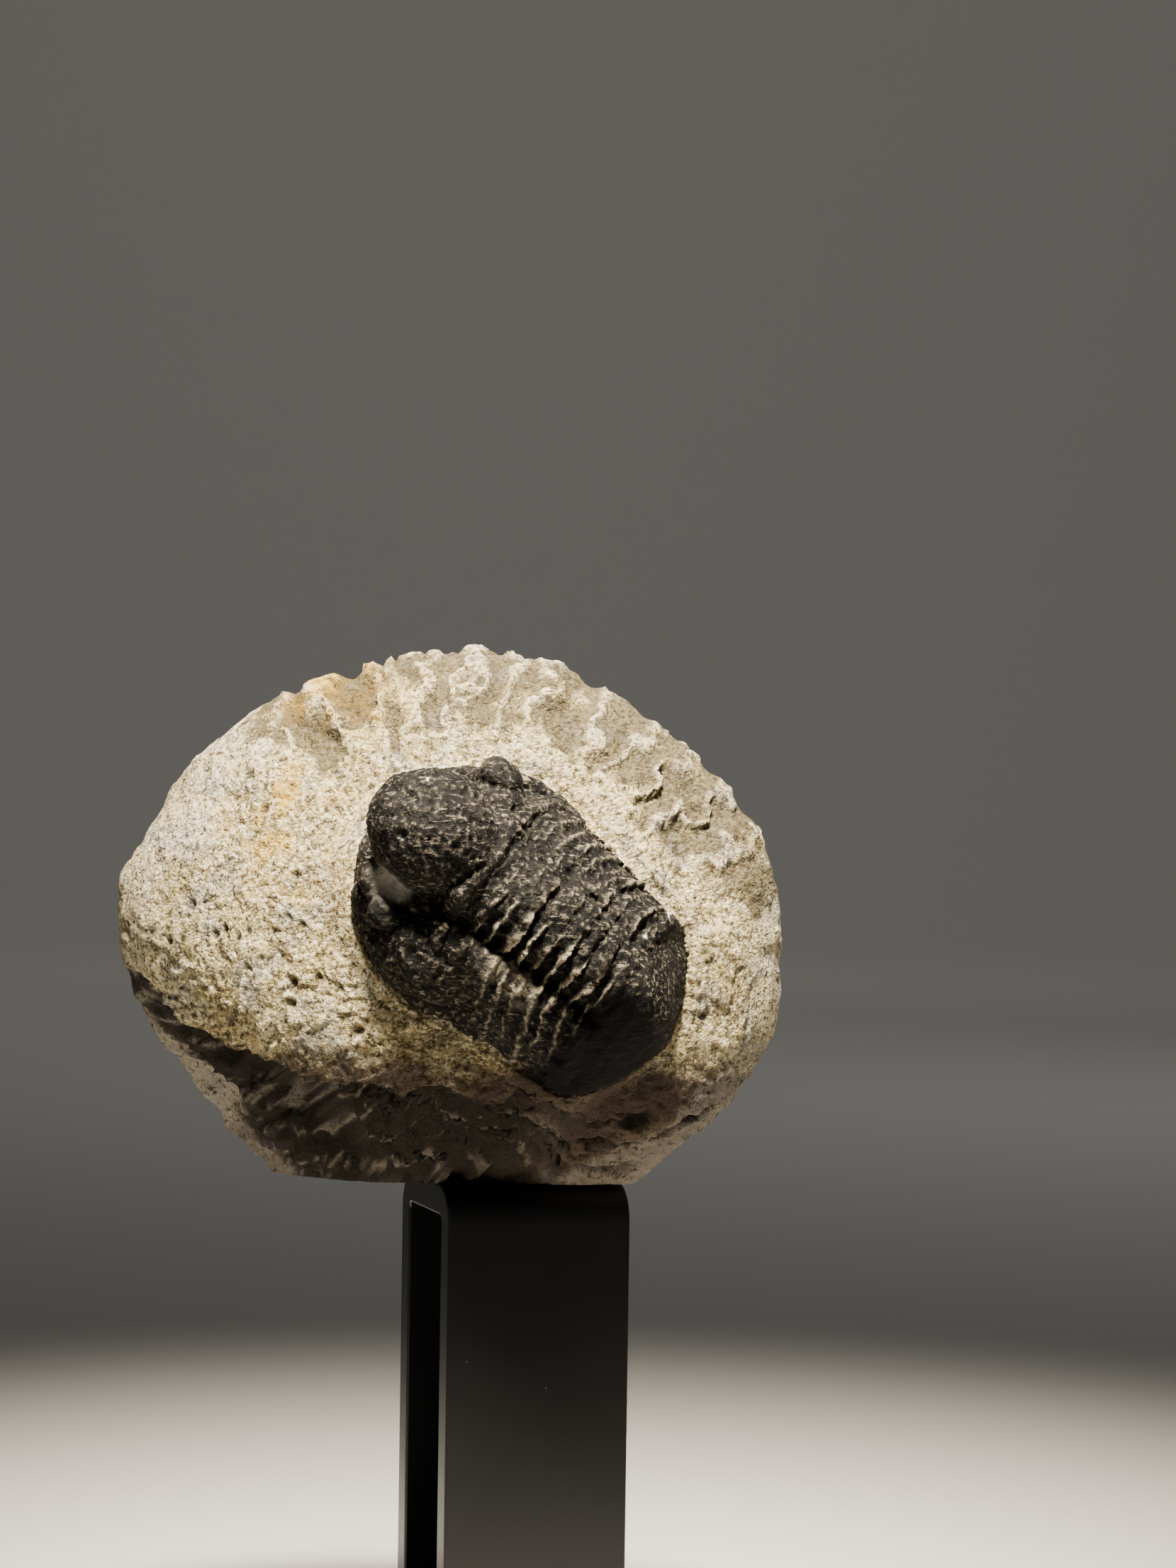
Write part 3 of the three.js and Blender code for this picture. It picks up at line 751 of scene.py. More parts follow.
def buildStone():
    data, toward = stoneDirections()
    backward = toward[:, 1]
    reach, shaped = stoneReach(toward)
    shapedBy = dict(zip(brokenFaces, shaped.T))
    under = smoothStep(shapedBy["lowerLeft"] + shapedBy["lowerFront"] + shapedBy["leftSide"], 0.3, 0.8)
    sideFace = smoothStep(shapedBy["leftSide"], 0.3, 0.6) * smoothStep(backward, -0.03, 0.01)
    behind = smoothStep(backward, 0.0, 0.35)
    places = toward * reach[:, None]
    sideFace *= smoothStep(places[:, 2] + stone["heart"][2], 6.0, 9.0)
    waver = rubble(places, 5.0, 4, 41.0)
    reach = reach + stone["lumpHeight"] * lumps(places / stone["lumpSize"] + 20)
    reach = np.minimum(reach, ledgeCuts(toward, reach, waver))

    # below the broken line the front lies further back, in layers that each overhang the next
    spot = toward * reach[:, None] + stone["heart"]
    below = np.interp(spot[:, 0], *zip(*undercut["line"])) + undercut["wander"] * waver - spot[:, 2]
    broken = smoothStep(below, -0.05, 0.35)
    inFront = smoothStep(-backward, 0.02, 0.2) * (1 - sideFace)
    seen = smoothStep(-backward, -0.1, -0.03) * (1 - sideFace)
    fade = smoothStep(spot[:, 0], undercut["fadeTo"], undercut["fadeFrom"])
    ragged = undercut["layerRagged"] * rubble(spot / undercut["layerStretch"], 3.0, 4, 17.0)
    level = below / undercut["layer"] + ragged
    overhang = 1 - (level - np.floor(level))
    overhang = overhang * smoothStep(overhang, 0.0, 0.16)
    reach = reach - broken * inFront * fade * (undercut["drop"] + undercut["layerDepth"] * overhang)
    recess = broken * fade * seen
    links, count = meshLinks(data)
    for _ in range(undercut["rounding"]):
        reach += recess * (neighbourMean(reach, links, count) - reach)

    # arcs of crevices under the animal
    arcHeight = spot[:, 2] - crevices["bend"] * (spot[:, 0] - crevices["middleX"]) ** 2
    ragged = crevices["ragged"] * rubble(spot / crevices["stretch"], 2.6, 4, 33.0)
    level = arcHeight / crevices["apart"] + ragged
    gap = np.abs(level - np.floor(level) - 0.5)
    patchy = smoothStep(rubble(spot / crevices["patchStretch"], 3.0, 3, 37.0), -0.4, 0.1)
    low = smoothStep(spot[:, 2], crevices["top"], crevices["top"] - crevices["topFade"])
    for end, inward in ((crevices["left"], crevices["endFade"]), (crevices["right"], -crevices["endFade"])):
        low = low * smoothStep(spot[:, 0], end - inward, end + inward)
    crevice = smoothStep(gap, 0.2, 0.04) * patchy * low * inFront
    reach = reach - crevices["depth"] * crevice

    scarDepth, scarred, ridge = rimFlutes(toward, toward * reach[:, None])
    reach = reach - scarDepth
    cavity = cavityCuts(toward) + 0.9 * waver
    hollow = smoothStep(reach - cavity, 0.0, 0.9)
    reach = np.minimum(reach, cavity)

    # grit, spalls, crags and pits, each on its own part of the stone
    places = toward * reach[:, None]
    front = (1 - 0.6 * scarred) * (1 - under) * (1 - behind)
    grit, spall, craggy, rough = (bumps(kinds, places) for kinds in stoneRelief.values())
    _, pitSpot, pitNumber = nearestSpots(places, stonePits["spacing"])
    pits = np.where(pitNumber < stonePits["share"], smoothStep(pitSpot, 0.3, 0.08), 0)
    pits = pits * np.clip(front + 0.5 * under, 0, 1)
    relief = grit * (0.55 + 0.45 * front) * (1 - sideFace) + spall * front
    relief += rough * (1 + undercut["torn"] * recess) * under * (1 - sideFace)
    relief += craggy * behind - stonePits["depth"] * pits
    reach = reach + relief
    places = toward * reach[:, None] + stone["heart"]
    starts = (101.0, 107.0, 113.0)
    crumble = np.stack([rubble(places, undercut["crumbleSize"], 2, start) for start in starts], axis=1)
    places += undercut["crumble"] * crumble * recess[:, None]

    # the stone rises to the animal's margin, stays under its shell, and has a narrow prepared groove round it
    local = moved(places, trilobiteToSpecimen.inverted())
    inside = planDepth(local)
    outside = np.maximum(-inside, 0) * trilobite["headHalfWidth"]
    facing = smoothStep(-backward, 0.15, 0.4)
    skirt = plinth["topZ"] - plinth["slope"] * np.maximum(outside - plinth["ledge"], 0) + 0.5 * relief
    raised = np.where(facing > 0, np.maximum(local[:, 2], skirt), local[:, 2])
    pocket = plinth["pocketZ"] - plinth["pocketFall"] * smoothStep(inside, plinth["under"], 0.3)
    groove = plinth["groove"] * np.exp(-(((inside - plinth["grooveAt"]) / plinth["grooveWidth"]) ** 2))
    covered = (inside > plinth["under"]) & (facing > 0)
    local[:, 2] = np.where(covered, np.minimum(raised, pocket), raised - groove * facing)
    places = moved(local, trilobiteToSpecimen)
    places[:, 2] = np.maximum(places[:, 2], 0.0)
    data.name = "stone"
    setPoints(data, moved(places, specimenToRow))

    stains = np.zeros(len(places))
    patchy = smoothStep(rubble(places, 3.0, 4, 51.0), -0.5, 0.6)
    for x, z, spread, strength in stainSpots:
        away = np.hypot((places[:, 0] - x) / 1.5, places[:, 2] - z)
        stains += strength * np.exp(-((away / spread) ** 2)) * patchy
    # the low band under the animal is painted brown as shade, and the broken recess brown as weathering and
    # shade
    shade = smoothStep(places[:, 2] + 2.0 * waver, 22.0, 14.0)
    around = smoothStep(-backward, -0.5, -0.25) * (1 - sideFace)
    mottle = 0.9 + 0.1 * smoothStep(rubble(places, 4.0, 4, 71.0), -0.5, 0.5)
    brown = np.maximum(recess, shade * around) * mottle
    # the lips of the broken layers get a painted highlight and less painted shade
    lip = recess * smoothStep(overhang, 0.25, 0.05)
    # painted shade in cavities, crevices, pits and the broken recess, less of it on the layer lips
    dark = hollow + crevice + 0.85 * pits + recess * (0.65 + smoothStep(overhang, 0.06, 0.3)) - 0.35 * lip
    paints = {
        "scar": scarred * (1 - 0.8 * ridge),
        "weathered": np.clip(brown + 0.2 * behind, 0, 1) * (1 - sideFace),
        "stain": stains * (backward < 0.1),
        "sawn": sideFace,
        "bruise": 0.15 * ridge + 0.15 * lip,
        "hollow": np.clip(dark, 0, 1) * 0.9,
    }
    setAttributes(data, paints)
    data.shade_smooth()
    piece = inScene("stone", data)
    data.materials.append(limestoneMaterial)
    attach(piece, "root")
    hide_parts("matrix_stone")
    print("stone:", len(data.polygons), "faces")


buildStone()


# The animal's body, in its own frame in millimetres: x to its right, y to its head, z up its back

def tailShare(y):
    return np.clip((trilobite["thoraxRearY"] - y) / (trilobite["thoraxRearY"] - trilobite["tailY"]), 0, 1)


def halfWidthAt(y):
    back = smoothStep(-y, -trilobite["headRearY"], -trilobite["thoraxRearY"])
    side = trilobite["thoraxHalfWidth"] + (trilobite["tailHalfWidth"] - trilobite["thoraxHalfWidth"]) * back
    return side * (1 - tailShare(y) ** trilobite["tailPoint"]) ** trilobite["tailRound"]


def axisHalfWidthAt(y):
    back = np.clip((trilobite["headRearY"] - y) / (trilobite["headRearY"] - trilobite["thoraxRearY"]), 0, 1)
    side = trilobite["axisHalfWidth"] + (trilobite["axisTailHalfWidth"] - trilobite["axisHalfWidth"]) * back
    return side * np.sqrt(1 - (0.97 * tailShare(y)) ** 2)


def crestAt(y):
    onThorax = np.maximum(y, trilobite["thoraxRearY"])
    arch = trilobite["crest"] - trilobite["crestCurve"] * (onThorax - trilobite["crestY"]) ** 2
    return arch * (1 - tailShare(y) ** 2) ** 0.62


def splineThrough(keys, count):
    # a smooth line through key points
    keys = np.asarray(keys, float)
    padded = np.vstack([2 * keys[0] - keys[1], keys, 2 * keys[-1] - keys[-2]])
    t = np.linspace(0, len(keys) - 1, count)
    i = np.minimum(t.astype(int), len(keys) - 2)
    f = (t - i)[:, None]
    a, b, c, d = (padded[i + n] for n in range(4))
    return 0.5 * (2 * b + (c - a) * f + (2 * a - 5 * b + 4 * c - d) * f**2 + (3 * b - a - 3 * c + d) * f**3)


def sectionAt(y, count, furrowShare):
    side = max(float(halfWidthAt(y)), 0.4)
    axis = min(float(axisHalfWidthAt(y)), 0.6 * side)
    crest = float(crestAt(y))
    rib = crest * trilobite["sideShare"]
    lobe = side - axis
    keys = [
        (0, crest), (0.5 * axis, 0.95 * crest), (0.86 * axis, 0.8 * crest),
        (axis, crest * furrowShare), (axis + 0.2 * lobe, rib), (axis + 0.5 * lobe, 0.86 * rib),
        (axis + 0.8 * lobe, 0.5 * rib), (side, 0),
    ]
    x, z = splineThrough(keys, count).T
    roofed = smoothStep(float(tailShare(y)), 0, trilobite["roofFrom"])
    z = z + roofed * (crest * (1 - np.clip(x / side, 0, 1) ** trilobite["roofPower"]) - z)
    return x, z, np.clip((x - axis) / lobe, 0, 1), np.clip(x / axis, 0, 1)


def loft(rings):
    # closed skin through loops of points, with a fan over each end
    around = len(rings[0])
    points = np.vstack(rings + [rings[0].mean(0)[None], rings[-1].mean(0)[None]])
    faces = []
    for r in range(len(rings) - 1):
        for i in range(around):
            a, b = r * around + i, r * around + (i + 1) % around
            faces.append((a, b, b + around, a + around))
    first, last = len(rings) * around, len(rings) * around + 1
    for i in range(around):
        j = (i + 1) % around
        faces.append((first, j, i))
        faces.append((last, (len(rings) - 1) * around + i, (len(rings) - 1) * around + j))
    return points, faces


def ringOf(right, left, floor):
    # one loop across the body from its two half sections: right edge up over the back and down to the left
    right = np.vstack([right, [right[-1, 0], right[-1, 1], floor]])
    left = np.vstack([left, [left[-1, 0], left[-1, 1], floor]])
    return np.vstack([right[::-1], left[1:]])


segmentShape = {
    "across": 70,
    "steps": 18,
    "overlap": 0.66,  # half length of one segment, in pitches
    "ring": [
        (0, -1.8), (0.12, -0.75), (0.3, -0.25), (0.6, 0.25), (0.78, 0.62), (0.87, 0.7), (0.94, 0.4),
        (1, -1.4),
    ],
    "rib": [
        (0, -1.5), (0.14, -0.3), (0.3, 0.2), (0.48, -0.05), (0.7, 0.45), (0.86, 0.6), (0.94, 0.25),
        (1, -1.3),
    ],
    "wornTop": 0.1,  # how much of a ring's relief is left along the top of the back
    "wornLeft": 0.5,  # and of the left flank's and the ribs', which have sharp edges instead
    "wornRight": 0.14,
    "bow": 0.5,  # how far a ring bows forward over the back, mm
    "tailNarrowing": 0.16,
    "sizeStray": (0.02, 0, 0.025),
    "turnStray": (0.02, 0.015, 0.02),
    "seed": 4,
}
pitch = (trilobite["headRearY"] - trilobite["thoraxRearY"]) / trilobite["segments"]
bodySides = ((1, "rightFurrow", "wornRight"), (-1, "leftFurrow", "wornLeft"))


def oneSegment():
    # an axial ring with its two ribs, standing at the crest of the back; the left flank kept its relief best
    rings = []
    for step in np.linspace(0, 1, segmentShape["steps"]):
        ring = np.interp(step, *zip(*segmentShape["ring"]))
        rib = np.interp(step, *zip(*segmentShape["rib"]))
        halves = []
        for side, furrow, worn in bodySides:
            x, z, outward, acrossAxis = sectionAt(trilobite["crestY"], segmentShape["across"], trilobite[furrow])
            flank = smoothStep(acrossAxis, 0.25, 0.7) if side < 0 else 0.05 * acrossAxis
            kept = segmentShape["wornTop"] + (segmentShape["wornLeft"] - segmentShape["wornTop"]) * flank
            blend = smoothStep(outward, 0.0, 0.08)
            narrow = np.sqrt(1 - (np.maximum(outward - 0.94, 0) / 0.12) ** 2)
            y = (0.5 - step) * 2 * segmentShape["overlap"] * pitch * narrow - trilobite["ribSweep"] * outward**2
            y = y + segmentShape["bow"] * (1 - acrossAxis**2)
            ribHeight = rib * segmentShape[worn] * (1 - 0.45 * outward)
            height = z + ring * kept * (1 - blend) + ribHeight * blend
            halves.append(np.stack([side * x, y, height], 1))
        rings.append(ringOf(*halves, -trilobite["buried"]))
    return meshObject("segment", *loft(rings))


def thoraxNodes():
    # segments set along the arched back, narrower and lower towards the tail
    tree = bpy.data.node_groups.new("thoraxSegments", "GeometryNodeTree")
    segment = oneSegment()
    given = [
        ("Segment", "NodeSocketObject", segment),
        ("Segments", "NodeSocketInt", trilobite["segments"]),
        ("First Y", "NodeSocketFloat", trilobite["headRearY"] - 0.5 * pitch),
        ("Pitch", "NodeSocketFloat", pitch),
        ("Crest Y", "NodeSocketFloat", trilobite["crestY"]),
        ("Crest Fall", "NodeSocketFloat", trilobite["crestCurve"] / trilobite["crest"]),
        ("Tail Narrowing", "NodeSocketFloat", segmentShape["tailNarrowing"]),
        ("Seed", "NodeSocketInt", segmentShape["seed"]),
    ]
    holder = meshObject("thorax", np.zeros((0, 3)), np.zeros((0, 3), int))
    sockets = [tree.interface.new_socket(name=name, in_out="INPUT", socket_type=kind) for name, kind, _ in given]
    tree.interface.new_socket(name="Geometry", in_out="OUTPUT", socket_type="NodeSocketGeometry")
    known = {socket.name: socket for socket in addNode(tree, "NodeGroupInput").outputs}
    spot = addNode(tree, "GeometryNodeInputPosition").outputs["Position"]
    known["y"] = addNode(tree, "ShaderNodeSeparateXYZ", {"Vector": spot}).outputs["Y"]
    known["index"] = addNode(tree, "GeometryNodeInputIndex").outputs["Index"]
    sums = [
        ("back", "MULTIPLY", "Pitch", -1.0),
        ("offCrest", "SUBTRACT", "y", "Crest Y"),
        ("squared", "MULTIPLY", "offCrest", "offCrest"),
        ("lower", "MULTIPLY", "squared", "Crest Fall"),
        ("height", "SUBTRACT", 1.0, "lower"),
        ("gaps", "SUBTRACT", "Segments", 1.0),
        ("share", "DIVIDE", "index", "gaps"),
        ("narrow", "MULTIPLY", "share", "Tail Narrowing"),
        ("width", "SUBTRACT", 1.0, "narrow"),
    ]
    for name, operation, *terms in sums:
        inputs = {i: known.get(term, term) for i, term in enumerate(terms)}
        known[name] = addNode(tree, "ShaderNodeMath", inputs, operation=operation).outputs["Value"]
    for name in ("sizeStray", "turnStray"):
        most = segmentShape[name]
        inputs = {"Min": [-value for value in most], "Max": most, "ID": known["index"], "Seed": known["Seed"]}
        stray = addNode(tree, "FunctionNodeRandomValue", inputs, data_type="FLOAT_VECTOR")
        known[name] = stray.outputs["Value"]
    start = addNode(tree, "ShaderNodeCombineXYZ", {"Y": known["First Y"]}).outputs["Vector"]
    back = addNode(tree, "ShaderNodeCombineXYZ", {"Y": known["back"]}).outputs["Vector"]
    inputs = {"Count": known["Segments"], "Start Location": start, "Offset": back}
    line = addNode(tree, "GeometryNodeMeshLine", inputs).outputs["Mesh"]
    inputs = {"X": known["width"], "Y": 1.0, "Z": known["height"]}
    size = addNode(tree, "ShaderNodeCombineXYZ", inputs).outputs["Vector"]
    inputs = {0: size, 1: known["sizeStray"]}
    size = addNode(tree, "ShaderNodeVectorMath", inputs, operation="ADD").outputs["Vector"]
    inputs = {"Object": known["Segment"], "As Instance": True}
    shape = addNode(tree, "GeometryNodeObjectInfo", inputs).outputs["Geometry"]
    inputs = {"Points": line, "Instance": shape, "Rotation": known["turnStray"], "Scale": size}
    placed = addNode(tree, "GeometryNodeInstanceOnPoints", inputs).outputs["Instances"]
    real = addNode(tree, "GeometryNodeRealizeInstances", {"Geometry": placed}).outputs["Geometry"]
    inputs = {"Geometry": real, "Material": shellMaterial}
    finished = addNode(tree, "GeometryNodeSetMaterial", inputs).outputs["Geometry"]
    addNode(tree, "NodeGroupOutput", {"Geometry": finished})
    modifier = holder.modifiers.new(tree.name, "NODES")
    modifier.node_group = tree
    for socket, (_, _, value) in zip(sockets, given):
        modifier[socket.identifier] = value
    thorax = plainMesh(holder, holder.name)
    bpy.data.objects.remove(segment)
    return thorax


tailShape = {
    "steps": 60,
    "overlap": 0.12,  # how far it reaches under the last segment, as a share of its length
    "wave": 0.25,  # height of its fused rings, mm
    "waves": 5.2,
    "waveFade": 1.6,
}


def tailShield():
    rings = []
    steps, overlap = tailShape["steps"], tailShape["overlap"]
    for i in range(steps):
        share = -overlap + (1 + overlap) * math.sin(0.5 * math.pi * i / (steps - 0.7))
        y = trilobite["thoraxRearY"] + (trilobite["tailY"] - trilobite["thoraxRearY"]) * share
        wave = tailShape["wave"] * math.sin(2 * math.pi * share * tailShape["waves"])
        wave = wave * max(0, 1 - tailShape["waveFade"] * share)
        halves = []
        for side, furrow, _ in bodySides:
            x, z, outward, _ = sectionAt(y, segmentShape["across"], trilobite[furrow])
            sweep = trilobite["ribSweep"] * outward**2 * (1 - float(tailShare(y)))
            halves.append(np.stack([side * x, y - sweep, z + wave * (1 - outward)], 1))
        rings.append(ringOf(*halves, -trilobite["buried"]))
    return meshObject("tail", *loft(rings))


def turned(profile, around, centre, sizes):
    # a profile of radius and height turned round z and stretched, with a point at each end
    profile = np.asarray(profile, float)
    turn = np.linspace(0, 2 * math.pi, around, endpoint=False)
    rings = []
    for radius, height in profile[1:-1]:
        x, y = radius * np.cos(turn) * sizes[0], radius * np.sin(turn) * sizes[1]
        rings.append(np.stack([x, y, np.full(around, height)], 1) + centre)
    points, faces = loft(rings[::-1])
    points[-2] = np.array(centre) + (0, 0, profile[-1][1])
    points[-1] = np.array(centre) + (0, 0, profile[0][1])
    return points, faces


head = {
    "cheek": [
        (0, -5), (1, -5), (1, 0.4), (0.985, 1.3), (0.95, 1.9), (0.91, 1.7), (0.885, 1.5),
        (0.84, 2.6), (0.76, 4.3), (0.62, 6.6), (0.45, 8.0), (0.2, 8.4), (0, 8.4),
    ],
    "eye": [
        (0, -3), (3.1, -3), (2.9, 0.2), (2.45, 1.8), (2.3, 2.8), (2.5, 3.9), (2.6, 4.8),
        (2.35, 5.7), (1.7, 6.3), (0.8, 6.6), (0, 6.65),
    ],
    "eyeLean": math.radians(14),
    "rightEye": {"x": 10.6, "y": 14.2, "z": 3.0, "size": 0.9},
    "leftEye": {"x": -10.9, "y": 15.1, "z": 2.0, "size": 0.72},  # worn lower
    "glabellaCentre": (-0.3, 15.8, 8.4),
    "glabellaHalf": (8.0, 9.4, 7.2),
    "rearTaper": 0.3,
    "lastRing": [(1.9, -5.0), (1.5, -2.6), (1.2, -0.4), (0.9, 0.6), (0.55, 0.8), (0.3, 0.3), (0.05, -1.2)],
}
# Smooth swellings that join the head's parts: centre and half sizes
swellings = {
    "leftLobe": ((-4.9, 9.4, 10.6), (2.2, 1.6, 2.2)),
    "rightLobe": ((4.6, 9.4, 10.6), (2.2, 1.6, 2.2)),
    "neck": ((1.6, 9.3, 8.4), (6.6, 5.2, 4.6)),
    "leftGenal": ((-10.9, 7.4, 2.0), (5.8, 7.4, 5.6)),
    "leftCheek": ((-8.4, 14.6, 1.2), (4.8, 5.8, 4.2)),
    "rightEyeLid": ((8.2, 11.8, 4.6), (4.4, 4.8, 4.6)),
    "leftShelf": ((-8.1, 16.9, 4.0), (3.0, 4.2, 3.2)),
}


def fineProfile(profile):
    keys = np.asarray(profile, float)
    inner = splineThrough(keys[1:-1], 6 * len(keys))
    return np.vstack([keys[0], inner, keys[-1]])


def cheeks():
    sizes = (trilobite["headHalfWidth"], trilobite["frontY"] - cheekCentreY)
    return meshObject("cheeks", *turned(fineProfile(head["cheek"]), 160, (0, cheekCentreY, 0), sizes))


def eyeTurret(eye):
    points, faces = turned(fineProfile(head["eye"]), 48, (0, 0, 0), (1.0, 1.2))
    lean = Matrix.Rotation(math.copysign(head["eyeLean"], eye["x"]), 4, "Y")
    place = Matrix.Translation((eye["x"], eye["y"], eye["z"])) @ lean
    return meshObject("eye", moved(points * eye["size"], place), faces)


def glabellaBall():
    ball = bmesh.new()
    bmesh.ops.create_icosphere(ball, subdivisions=6, radius=1.0)
    data = bpy.data.meshes.new("glabella")
    ball.to_mesh(data)
    ball.free()
    p = pointsOf(data)
    taper = 1 - head["rearTaper"] * smoothStep(-p[:, 1], -0.2, 1)
    dimple = 1 + 0.02 * rubble(p, 0.7, 2, 31.0)
    p = p * np.stack([taper, np.ones(len(p)), np.ones(len(p))], 1) * dimple[:, None]
    setPoints(data, p * head["glabellaHalf"] + head["glabellaCentre"])
    return inScene("glabella", data)


def occipitalRing():
    # the last ring of the head, each loop as pitches ahead of the head's rear and its height over the section
    rings = []
    for ahead, lift in head["lastRing"]:
        halves = []
        for side, furrow, _ in bodySides:
            x, z, outward, _ = sectionAt(trilobite["headRearY"], segmentShape["across"], trilobite[furrow])
            y = trilobite["headRearY"] + ahead * pitch - trilobite["ribSweep"] * outward**2
            drop = 1.6 * smoothStep(outward, 0.05, 0.5) * smoothStep(ahead, 0, 1.2)
            halves.append(np.stack([side * x, y, z + lift * (1 - 0.5 * outward) - drop], 1))
        rings.append(ringOf(*halves, -trilobite["buried"]))
    return meshObject("occipitalRing", *loft(rings))


def swelling(centre, half):
    arcPoints = [(math.sin(t), -math.cos(t)) for t in np.linspace(0, math.pi, 25)]
    points, faces = turned(arcPoints, 48, (0, 0, 0), (1, 1))
    return meshObject("swelling", points * half + centre, faces)


def joinPieces(name, pieces):
    joined = bmesh.new()
    for piece in pieces:
        joined.from_mesh(piece.data)
        bpy.data.objects.remove(piece)
    data = bpy.data.meshes.new(name)
    joined.to_mesh(data)
    joined.free()
    return inScene(name, data)


# The shell's skin and fine relief, mm: the right eye is kept smooth, and the left one lies dark
skin = {
    "voxel": 0.25,
    "smoothing": 2,
    "rightEye": (11.8, 14.2, 7.4),
    "leftEye": (-11.6, 15.1, 5.4),
    "tubercle": 0.26,
    "tubercleSpacing": 1.0,
    "grain": [(rubble, 0.2, 2.4, 3, 11.0), (ridges, 0.17, 1.7, 3, 2.0), (rubble, 0.13, 0.8, 2, 6.0)],
    "scratch": 0.16,
    "scratchStretch": (3.6, 1.0, 1.0),
    "pit": 0.25,
    "pitSpacing": 1.7,
    "pitShare": 0.4,
}
# A flat facet in front of the left eye, painted pale as a painted highlight
eyeFacet = {"centre": (-8.2, 16.9, 6.2), "toward": (-0.55, 0.25, 0.8), "radius": 2.5}
# Sharp crests on rings and ribs, mm: their heights, how quickly they rise, and the depth of the troughs between
crests = {"ring": 0.75, "rib": 0.45, "rise": 0.12, "trough": 0.35, "ribsFrom": 3.0, "ribsFull": -1.0}
# White flecks as seen from the front of the stone: x, y and radius
whiteFlecks = [
    (6.2, -3.9, 0.34), (9.3, -12.7, 0.28), (13.4, -14.0, 0.34), (12.2, -15.4, 0.2),
    (7.4, 21.6, 0.22), (14.6, -7.6, 0.22),
]


def ringCrests(p):
    # where the sharp crests and the troughs between them lie: on the axis' left wall, and on the ribs beside it
    x, y = p[:, 0], p[:, 1]
    axis = axisHalfWidthAt(y)
    outward = np.clip((np.abs(x) - axis) / np.maximum(halfWidthAt(y) - axis, 1), 0, 1)
    ragged = 0.4 * rubble(p, 2.0, 3, 14.0)
    swept = y + trilobite["ribSweep"] * outward**2 + ragged
    level = (trilobite["headRearY"] - swept) / pitch
    phase = level - np.floor(level)
    strength = 0.4 + 0.8 * scatter(np.floor(level), 8)
    onThorax = smoothStep(y, trilobite["thoraxRearY"] - 1.5, trilobite["thoraxRearY"]) * smoothStep(y, 6.5, 5.0)
    left = -x / axis
    wall = smoothStep(left, 0.05, 0.45) * smoothStep(left, 1.1, 0.98) + 0.16 * smoothStep(left, 0.2, 0.0)
    ribbed = smoothStep(y, crests["ribsFrom"], crests["ribsFull"]) * (1 - outward) ** 0.5
    rib = smoothStep(left, 1.0, 1.1) * ribbed + 0.3 * smoothStep(-left, 1.0, 1.1)
    worn = strength * onThorax * smoothStep(rubble(p, 3.0, 2, 24.0), -0.9, -0.1)
    offCrest = np.where(phase < 0.5, 1.5 * phase, 1 - phase)
    raised = np.exp(-2 * offCrest / crests["rise"]) * worn
    sunk = smoothStep(offCrest, 0.08, 0.3) * worn
    return raised, sunk, wall, rib


